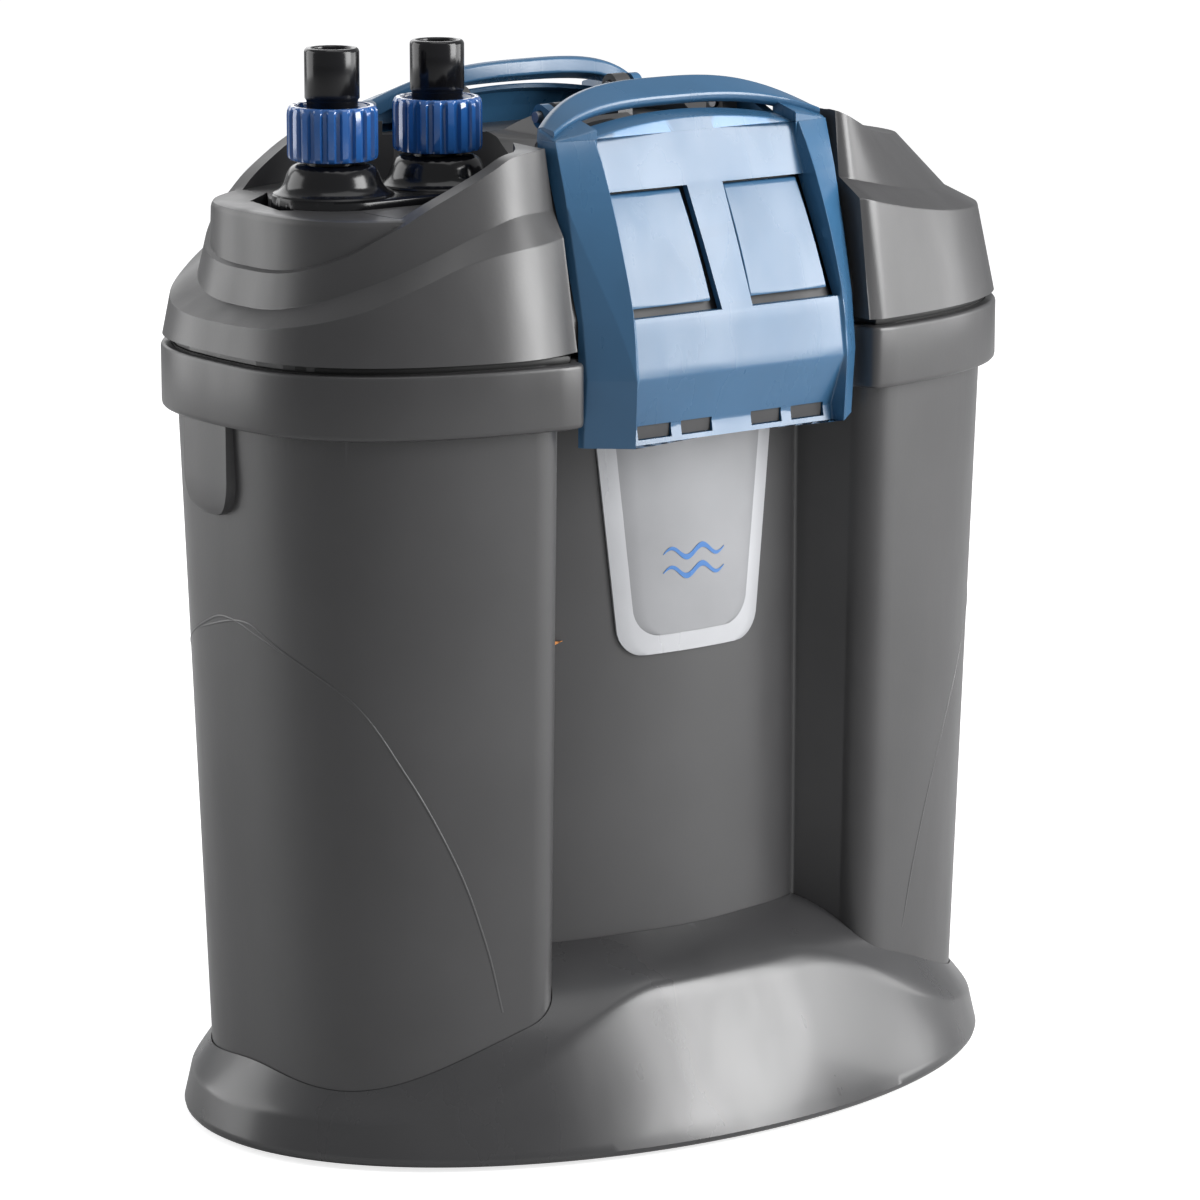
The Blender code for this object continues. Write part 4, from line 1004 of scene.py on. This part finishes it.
def clamp_lug(sign):
    """Block that joins one end of the arch to the shell."""
    rings = []
    for x, front, back in ((40.4, 325.6, 328.4), (47.0, 324.4, 327.4), (54.2, 323.1, 325.5),
                           (54.8, 322.6, 325.0)):
        face = -57.1 + 2.6 * smooth((x - 41.0) / 14.0)
        rings.append([(sign * x, face, 318.6), (sign * x, face, front - 0.5),
                      (sign * x, face + 0.5, front), (sign * x, -45.7, back),
                      (sign * x, -45.2, back - 0.5), (sign * x, -45.2, 318.6)])
    return loft(f"lug_{sign}", rings)


def clamp_brow():
    """Bowed upper edge of the face, with a deck that runs back under the arch."""
    half, low_z, sunk = 40.6, 319.5, 0.12
    low_y = at_z(FACE, low_z) + sunk
    rings = []
    for i in range(33):
        x = half * (i / 16 - 1)
        top = 322.6 + 4.0 * (1 - (x / half) ** 2)
        top_y = FACE[-1][0] + sunk + 0.37 * (top - FACE[-1][1])
        rings.append([(x, low_y, low_z), (x, top_y - 0.1, top - 0.5), (x, top_y + 0.4, top),
                      (x, top_y + 7.6, top + 1.6), (x, top_y + 8.0, top + 1.2),
                      (x, top_y + 8.0, top + 0.1), (x, top_y + 3.2, top - 1.6),
                      (x, low_y + 2.3, low_z)])
    return loft("brow", rings)


def clamp_arm(x):
    """Arm from the shell to the hinge pin."""
    outline = [(-56.0, 314.0), (-54.0, 321.0)]
    for i in range(17):
        t = math.pi * (0.62 - i / 16)
        outline.append((PIVOT_Y + 4.0 * math.cos(t), PIVOT_Z + 4.0 * math.sin(t)))
    outline.append((-46.0, 318.5))
    return slab(f"arm_{int(x)}", outline, x - 1.7, x + 1.7)


def window(sign):
    """Cutter of one window, wider at the bottom."""
    rings = []
    for y in (-95.0, -50.0):
        rings.append([(sign * 6.2, y, 268.0), (sign * 41.8, y, 268.0), (sign * 40.8, y, 306.0),
                      (sign * 7.2, y, 306.0)])
    return loft(f"window_{sign}", rings)


def window_panel(name, sign):
    """Bulging panel that nearly fills a window; the gap is wide below and at its right."""
    low, high = 270.9, 305.0
    rings = []
    for t in (0.0, 0.015, 0.05, 0.15, 0.3, 0.45, 0.6, 0.75, 0.88, 0.96, 0.99, 1.0):
        z = low + (high - low) * t
        lean = 0.8 * t
        x0, x1 = (6.9 + lean, 38.6 - lean) if sign > 0 else (9.1 + lean, 40.9 - lean)
        chord = at_z(FACE, low) + (at_z(FACE, high) - at_z(FACE, low)) * t
        front = chord + 0.7 - 3.2 * t * (1 - t) + (0.4 if t in (0.0, 1.0) else 0.0)
        ring = [(x0, front + 0.45), (x0 + 0.45, front), ((x0 + x1) / 2, front - 0.1),
                (x1 - 0.45, front), (x1, front + 0.45), (x1, front + 2.0), (x0, front + 2.0)]
        rings.append([(sign * x, y, z) for x, y in ring])
    return crisp(loft(name, rings, BLUE), 50)


def clamp_back(name):
    """Sheet behind the windows, standing in for the clamp plate, black as painted shade in the gaps
    round the panels.
    """
    rings = []
    for z in (262.0, 266.8, 287.0, 307.0, 311.0):
        front = at_z(FACE, z) + 3.6
        half = 41.0 - 1.5 * smooth((z - 262.0) / 45.0)
        rings.append([(-half, front, z), (half, front, z), (half, front + 1.2, z),
                      (-half, front + 1.2, z)])
    return loft(name, rings, PAINTED_SHADE_BLACK)


def slot_spans(signs=(-1, 1)):
    """Left and right x of each slot."""
    return [tuple(sorted((sign * near, sign * far))) for near, far in SLOTS for sign in signs]


def slot_fill(name):
    """Black backs of the four slots near the lower edge, painted shade where the slots open into the
    clamp.
    """
    depth, height, back_y, middle_z, gap = 3.4, 4.1, -72.4, 231.15, 0.3
    bm = bmesh.new()
    for low, high in slot_spans():
        cube = bmesh.ops.create_cube(bm, size=1.0)["verts"]
        bmesh.ops.scale(bm, vec=(high - low - gap, depth, height), verts=cube)
        bmesh.ops.translate(bm, vec=((low + high) / 2, back_y, middle_z), verts=cube)
    return close_mesh(name, bm, PAINTED_SHADE_BLACK)


def make_clamps():
    clamp = loft("clamp_front_shell", [clamp_ring(z) for z in clamp_levels()], BLUE)
    steps = 48
    arch = loft("arch", [arch_ring(2 * i / steps - 1) for i in range(steps + 1)])
    joined = [arch, clamp_brow(), clamp_lug(1), clamp_lug(-1), clamp_arm(-39.4), clamp_arm(39.4),
              box("hook", (-34.0, -73.6, 229.4), (34.0, -67.0, 233.4))]
    combine(clamp, joined, "UNION")
    cuts = [window(1), window(-1),
            rod("bore", (0, PIVOT_Y, PIVOT_Z), 2.1, -60, 60, axis="X")]
    for sign in (-1, 1):
        for low, high in slot_spans((sign,)):
            cuts.append(box(f"slot_{low}", (low, -90, 228.9), (high, -70.5, 233.4)))
    combine(clamp, cuts)
    crisp(clamp, 28)
    parts = {"shell": clamp, "window_back": clamp_back("back"), "slot_back": slot_fill("slots"),
             "panel_left": window_panel("left", -1), "panel_right": window_panel("right", 1)}
    made = []
    for word in ("front", "rear"):
        nodes = {"shell": [f"{word}_clamp"], "window_back": [f"{word}_clamp_plate"]}
        for part, source in parts.items():
            name = f"clamp_{word}_{part}"
            obj = source if word == "front" else turn_half(copy_of(source, name))
            obj.name = name
            made.append((obj, f"clamp_{word}", "clamp_blue", nodes.get(part, ())))
    for obj, body, slot_name, replaced in made:
        place(obj, body, replaced)


# ---------------------------------------------------------------- hose unit


def make_hose_unit():
    edges = ((0.6, 292.6), (0.2, 300.6), (0.2, 302.6), (0.6, 303.6), (1.6, 304.1), (3.0, 304.2))
    plate = loft("hose_unit_plate", [level(stadium(20.6 - d), z) for d, z in edges], BLACK)
    flare = smooth_path([(19.0, 305.0, 0.0), (17.3, 305.9, 0.0), (16.0, 307.4, 0.0),
                         (15.2, 309.4, 0.0), (14.4, 311.4, 0.0), (13.2, 313.1, 0.0),
                         (11.4, 314.0, 0.0), (9.4, 314.2, 0.0)], 4)
    dome = [(0.0, 300.0), (19.0, 300.0)] + [(p.x, p.y) for p in flare] + [(0.0, 314.2)]
    ring = [(0.0, 299.0), (19.4, 299.0), (19.4, 304.4), (19.0, 304.9), (18.0, 305.1),
            (0.0, 305.1)]
    stub = [(0.0, 281.0), (9.8, 281.0), (9.8, 296.0), (0.0, 296.0)]
    parts = []
    for i, x in enumerate(HOSES_X):
        parts += [turned(f"dome_{i}", dome, x), turned(f"ring_{i}", ring, x),
                  turned(f"stub_{i}", stub, x)]
    combine(plate, parts, "UNION")
    combine(plate, [rod(f"bore_{i}", (x, 0, 0), 6.6, 270, 330) for i, x in enumerate(HOSES_X)])
    place(plate, "hose_unit", ["hose_unit_body"])
    for x, word in zip(HOSES_X, ("inlet", "outlet")):
        make_spigot(x, word)
        make_nut(x, word)


def make_spigot(x, word):
    """Hose nozzle: a thinner neck below its barb, and eased edges at its mouth."""
    r, neck, bore, low, top = 8.7, 8.15, 6.2, 309.6, 350.6
    profile = [(bore, low), (neck, low), (neck, 333.9), (8.3, 334.3), (r, 334.8),
               (r, top - 1.2), (r - 0.25, top - 0.5), (r - 0.7, top - 0.1), (r - 1.2, top),
               (6.7, top), (6.3, top - 0.3), (bore, top - 0.8)]
    place(turned(f"{word}_nozzle", profile, x, BLACK, 40), "hose_unit",
          [f"{word}_spigot"])


def make_nut(x, word):
    """Union nut: raised ribs round a drum, softened at both ends."""
    flutes, per_flute, outer, relief_depth = 20, 14, 14.4, 1.25
    count = flutes * per_flute
    rings = []
    levels = ((315.3, 0.90, 0.2), (315.6, 0.955, 0.45), (316.2, 0.985, 0.8), (317.2, 1.0, 1.0),
              (329.6, 1.0, 1.0), (330.9, 0.99, 0.75), (331.7, 0.97, 0.4), (332.2, 0.945, 0.15),
              (332.5, 0.915, 0.0))
    for z, scale, relief in levels:
        ring = []
        for i in range(count):
            t = TAU * i / count
            wave = 0.5 + 0.5 * math.cos(TAU * i / per_flute)
            rib = smooth((wave - 0.12) / 0.5)
            radius = (outer - relief_depth * relief * (1 - rib)) * scale
            ring.append((x + radius * math.cos(t), radius * math.sin(t), z))
        rings.append(ring)
    nut = loft(f"{word}_nut_skin", rings, NUT_BLUE, angle=45)
    hole = [(0, 306.0), (9.0, 306.0), (9.0, 330.6), (11.4, 330.6), (12.0, 331.4), (12.2, 340.0),
            (0, 340.0)]
    combine(nut, [turned("hole", hole, x)])
    apply_modifiers(nut, 40)
    place(nut, f"nut_{word}", [f"{word}_union_nut"])


# ---------------------------------------------------------------- seal and inside


def make_seal():
    """Black gasket lip that shows as the dark line under the lid."""
    inner = notched(6.0)
    outer = notched(4.3)
    rings = []
    for outline, z in ((inner, 255.75), (outer, 255.75), (notched(4.0), 256.3),
                       (notched(4.0), 257.4), (outer, 258.0), (inner, 258.0)):
        rings.append(level(outline, z))
    place(loft("lid_gasket", rings, RUBBER, closed=True), "head")


def tumbled_rings(name, centre_z, half_x, half_y, x_mid, count, seed):
    """A layer of small ceramic tubes lying in all directions."""
    rng = random.Random(seed)
    bm = bmesh.new()
    for _ in range(count):
        x = x_mid + rng.uniform(-half_x, half_x)
        y = rng.uniform(-half_y, half_y)
        z = centre_z + rng.uniform(-1.6, 1.2)
        turn = Matrix.Rotation(rng.uniform(0, TAU), 4, "Z") @ Matrix.Rotation(
            math.pi / 2 + rng.uniform(-0.5, 0.5), 4, "X")
        spot = Matrix.Translation((x, y, z)) @ turn
        outer, inner, half, sides = 3.4, 1.7, 4.4, 12
        rows = []
        for r, h in ((outer, -half), (outer, half), (inner, half), (inner, -half)):
            rows.append([bm.verts.new(spot @ Vector((r * math.cos(TAU * i / sides),
                                                     r * math.sin(TAU * i / sides), h)))
                         for i in range(sides)])
        for a, b in zip(rows, rows[1:] + rows[:1]):
            for i in range(sides):
                j = (i + 1) % sides
                bm.faces.new((a[i], a[j], b[j], b[i]))
    return close_mesh(name, bm, MEDIA)


BASKET_X = -79.5
FOAM_INSET, FOAM_LEAST = 7.4, 7.2


def basket_inside(bottom):
    """Plan of the room inside a basket, left of which the intake pipe passes."""
    wall = lobed(*body_size(bottom), plain=True)
    edges = [(Vector(a), Vector(b)) for a, b in zip(wall, wall[1:] + wall[:1])]

    def room(q):
        """Distance from a point to the wall."""
        spot, gaps = Vector(q), []
        for a, b in edges:
            share = max(0.0, min(1.0, (spot - a).dot(b - a) / (b - a).length_squared))
            gaps.append((spot - a.lerp(b, share)).length)
        return min(gaps)

    sparse = [q for q in offset(wall, FOAM_INSET) if room(q) > FOAM_LEAST]
    outline = []
    wide_gap = 12.0
    for a, b in zip(sparse, sparse[1:] + sparse[:1]):
        outline.append(a)
        if math.dist(a, b) > wide_gap:
            corner = Vector(min(wall, key=lambda w: math.dist(w, a) + math.dist(w, b)))
            to_a, to_b = (Vector(a) - corner).normalized(), (Vector(b) - corner).normalized()
            middle = (to_a + to_b).normalized()
            outline += [tuple(corner + way.normalized() * FOAM_INSET)
                        for way in (to_a + middle, middle, middle + to_b)]
    kept = []
    for (xa, ya), (xb, yb) in zip(outline, outline[1:] + outline[:1]):
        if xa >= BASKET_X:
            kept.append((xa, ya))
        if (xa - BASKET_X) * (xb - BASKET_X) < 0:
            kept.append((BASKET_X, ya + (yb - ya) * (BASKET_X - xa) / (xb - xa)))
    return kept


def foam_block(name, node, material, body):
    """Foam cut to its basket, with softened and slightly uneven edges."""
    low, high = [[c / MM for c in corner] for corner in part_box(node)]
    outline = basket_inside(low[2] - 2.2)
    rng = random.Random(7)
    rings = []
    for inset, z in ((1.6, low[2] + 0.3), (0.4, low[2] + 1.4), (0.1, low[2] + 20.0),
                     (0.1, high[2] - 4.0), (0.5, high[2] - 1.8), (1.6, high[2] - 0.8),
                     (3.4, high[2] - 0.5)):
        ring = []
        for i, (x, y) in enumerate(outline):
            (xa, ya), (xb, yb) = outline[i - 1], outline[(i + 1) % len(outline)]
            along = Vector((xb - xa, yb - ya)).normalized()
            depth = inset + rng.uniform(0, 0.15)
            ring.append((x - along.y * depth, y + along.x * depth, z - rng.uniform(0, 0.2)))
        rings.append(ring)
    obj = loft(name, rings, material, angle=60)
    place(obj, body, [node])


def make_inside():
    foam_block("coarse_foam_block", "coarse_foam", COARSE, "lower_stage")
    foam_block("fine_foam_block", "fine_foam", FINE, "upper_stage")
    low, high = [[c / MM for c in corner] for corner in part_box("bio_media")]
    mid = (low[0] + high[0]) / 2
    layer = tumbled_rings("bio_tubes", high[2] - 7.0, (high[0] - low[0]) / 2 - 14.0, 32.0, mid,
                          230, 11)
    place(layer, "middle_stage")


def dress_nodes():
    """Better materials for the CAD nodes that stay visible."""
    wanted = {
        "lid_seal": RUBBER, "head_plate": HOUSING, "inlet_o_ring": RUBBER, "outlet_o_ring": RUBBER,
        "intake_pipe": BLACK, "outlet_duct": BLACK, "motor_housing": BLACK,
        "impeller_shaft": CERAMIC, "shaft_bush_upper": RUBBER, "shaft_bush_lower": RUBBER,
        "rotor_magnet": MAGNET, "impeller": WHITE, "impeller_cover": BLACK,
        "cable_gland": RUBBER, "lower_basket": TRAY, "middle_basket": TRAY,
        "upper_basket": TRAY, "bio_media": MEDIA,
    }
    wanted.update({f"rubber_foot_{i}": RUBBER for i in range(1, 5)})
    wanted.update({f"{end}_clamp_pin_{i}": STEEL for end in ("front", "rear") for i in "ab"})
    for name, material in wanted.items():
        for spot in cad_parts[name].material_slots:
            spot.material = material


# ---------------------------------------------------------------- stage


def make_stage():
    floor_mesh = bpy.data.meshes.new("floor")
    size = 9.0
    floor_mesh.from_pydata([(-size, -size, 0), (size, -size, 0), (size, size, 0),
                            (-size, size, 0)], [], [(0, 1, 2, 3)])
    floor = bpy.data.objects.new("studio_floor", floor_mesh)
    bpy.context.scene.collection.objects.link(floor)
    pale = Shader("studio_floor_pale", (0.62, 0.62, 0.62), 0.7, Emission_Color=(1, 1, 1, 1))
    haze = pale.noise(3.0, 3.0)
    pale.link(pale.mixed(pale.ranged(haze, 0, 1), (0.60, 0.60, 0.60), (0.64, 0.64, 0.64)),
              pale.main.inputs["Base Color"])
    seen_directly = pale.node("ShaderNodeLightPath").outputs["Is Camera Ray"]
    pale.link(pale.ranged(seen_directly, 0.0, 0.75, 0.0, 1.0), pale.main.inputs["Emission Strength"])
    floor_mesh.materials.append(pale.material)

    world = bpy.data.worlds.new("studio_air")
    bpy.context.scene.world = world
    world.use_nodes = True
    nodes, links = world.node_tree.nodes, world.node_tree.links
    air = nodes["Background"]
    air.inputs["Color"].default_value = (0.97, 0.98, 1.0, 1.0)
    air.inputs["Strength"].default_value = 0.42
    seen = nodes.new("ShaderNodeBackground")
    seen.inputs["Color"].default_value = (1.0, 1.0, 1.0, 1.0)
    seen.inputs["Strength"].default_value = 1.0
    path = nodes.new("ShaderNodeLightPath")
    mix = nodes.new("ShaderNodeMixShader")
    links.new(path.outputs["Is Camera Ray"], mix.inputs["Fac"])
    links.new(air.outputs["Background"], mix.inputs[1])
    links.new(seen.outputs["Background"], mix.inputs[2])
    links.new(mix.outputs["Shader"], nodes["World Output"].inputs["Surface"])

    for name, azimuth, elevation, distance, width, height, power in LIGHTS:
        soft_box(name, azimuth, elevation, distance, width, height, power)


# Softboxes: azimuth from -Y towards +X, elevation, distance, width, height, watts.
LIGHTS = (
    ("key_right", 36.0, 22.0, 1.5, 0.74, 1.0, 32.0),
    ("key_low", 66.0, 8.0, 1.6, 0.9, 0.5, 7.0),
    ("side_left", -140.0, 14.0, 1.5, 1.2, 1.1, 12.5),
    ("top", 40.0, 82.0, 1.6, 1.2, 1.2, 7.0),
    ("rear", 165.0, 25.0, 1.8, 1.4, 0.9, 6.0),
)


def way_back(azimuth, elevation):
    """Unit vector towards a light or camera; azimuth runs from -Y towards +X, in degrees."""
    a, e = math.radians(azimuth), math.radians(elevation)
    return Vector((math.sin(a) * math.cos(e), -math.cos(a) * math.cos(e), math.sin(e)))


def aim(obj, target, back, distance):
    obj.location = target + back * distance
    obj.rotation_mode = "QUATERNION"
    obj.rotation_quaternion = (-back).to_track_quat("-Z", "Y")


def soft_box(name, azimuth, elevation, distance, width, height, power):
    data = bpy.data.lights.new(name, "AREA")
    data.shape = "RECTANGLE"
    data.size, data.size_y = width, height
    data.energy = power
    obj = bpy.data.objects.new(name, data)
    bpy.context.scene.collection.objects.link(obj)
    aim(obj, Vector((0.0, 0.0, 0.16)), way_back(azimuth, elevation), distance)


def make_camera():
    data = bpy.data.cameras.new("product_camera")
    camera = bpy.data.objects.new("product_camera", data)
    bpy.context.scene.collection.objects.link(camera)
    data.sensor_width = 36.0
    data.lens = 157.604
    data.clip_start, data.clip_end = 0.1, 20.0
    aim(camera, Vector((0.00283, -0.00217, 0.16009)), way_back(-37.455, 11.967), 1.75)
    bpy.context.scene.camera = camera


# ---------------------------------------------------------------- build

make_camera()
make_stage()
make_canister()
make_foot()
make_badge()
make_lid()
make_clamps()
make_hose_unit()
make_seal()
make_inside()
dress_nodes()
bpy.context.scene.view_settings.view_transform = "Standard"
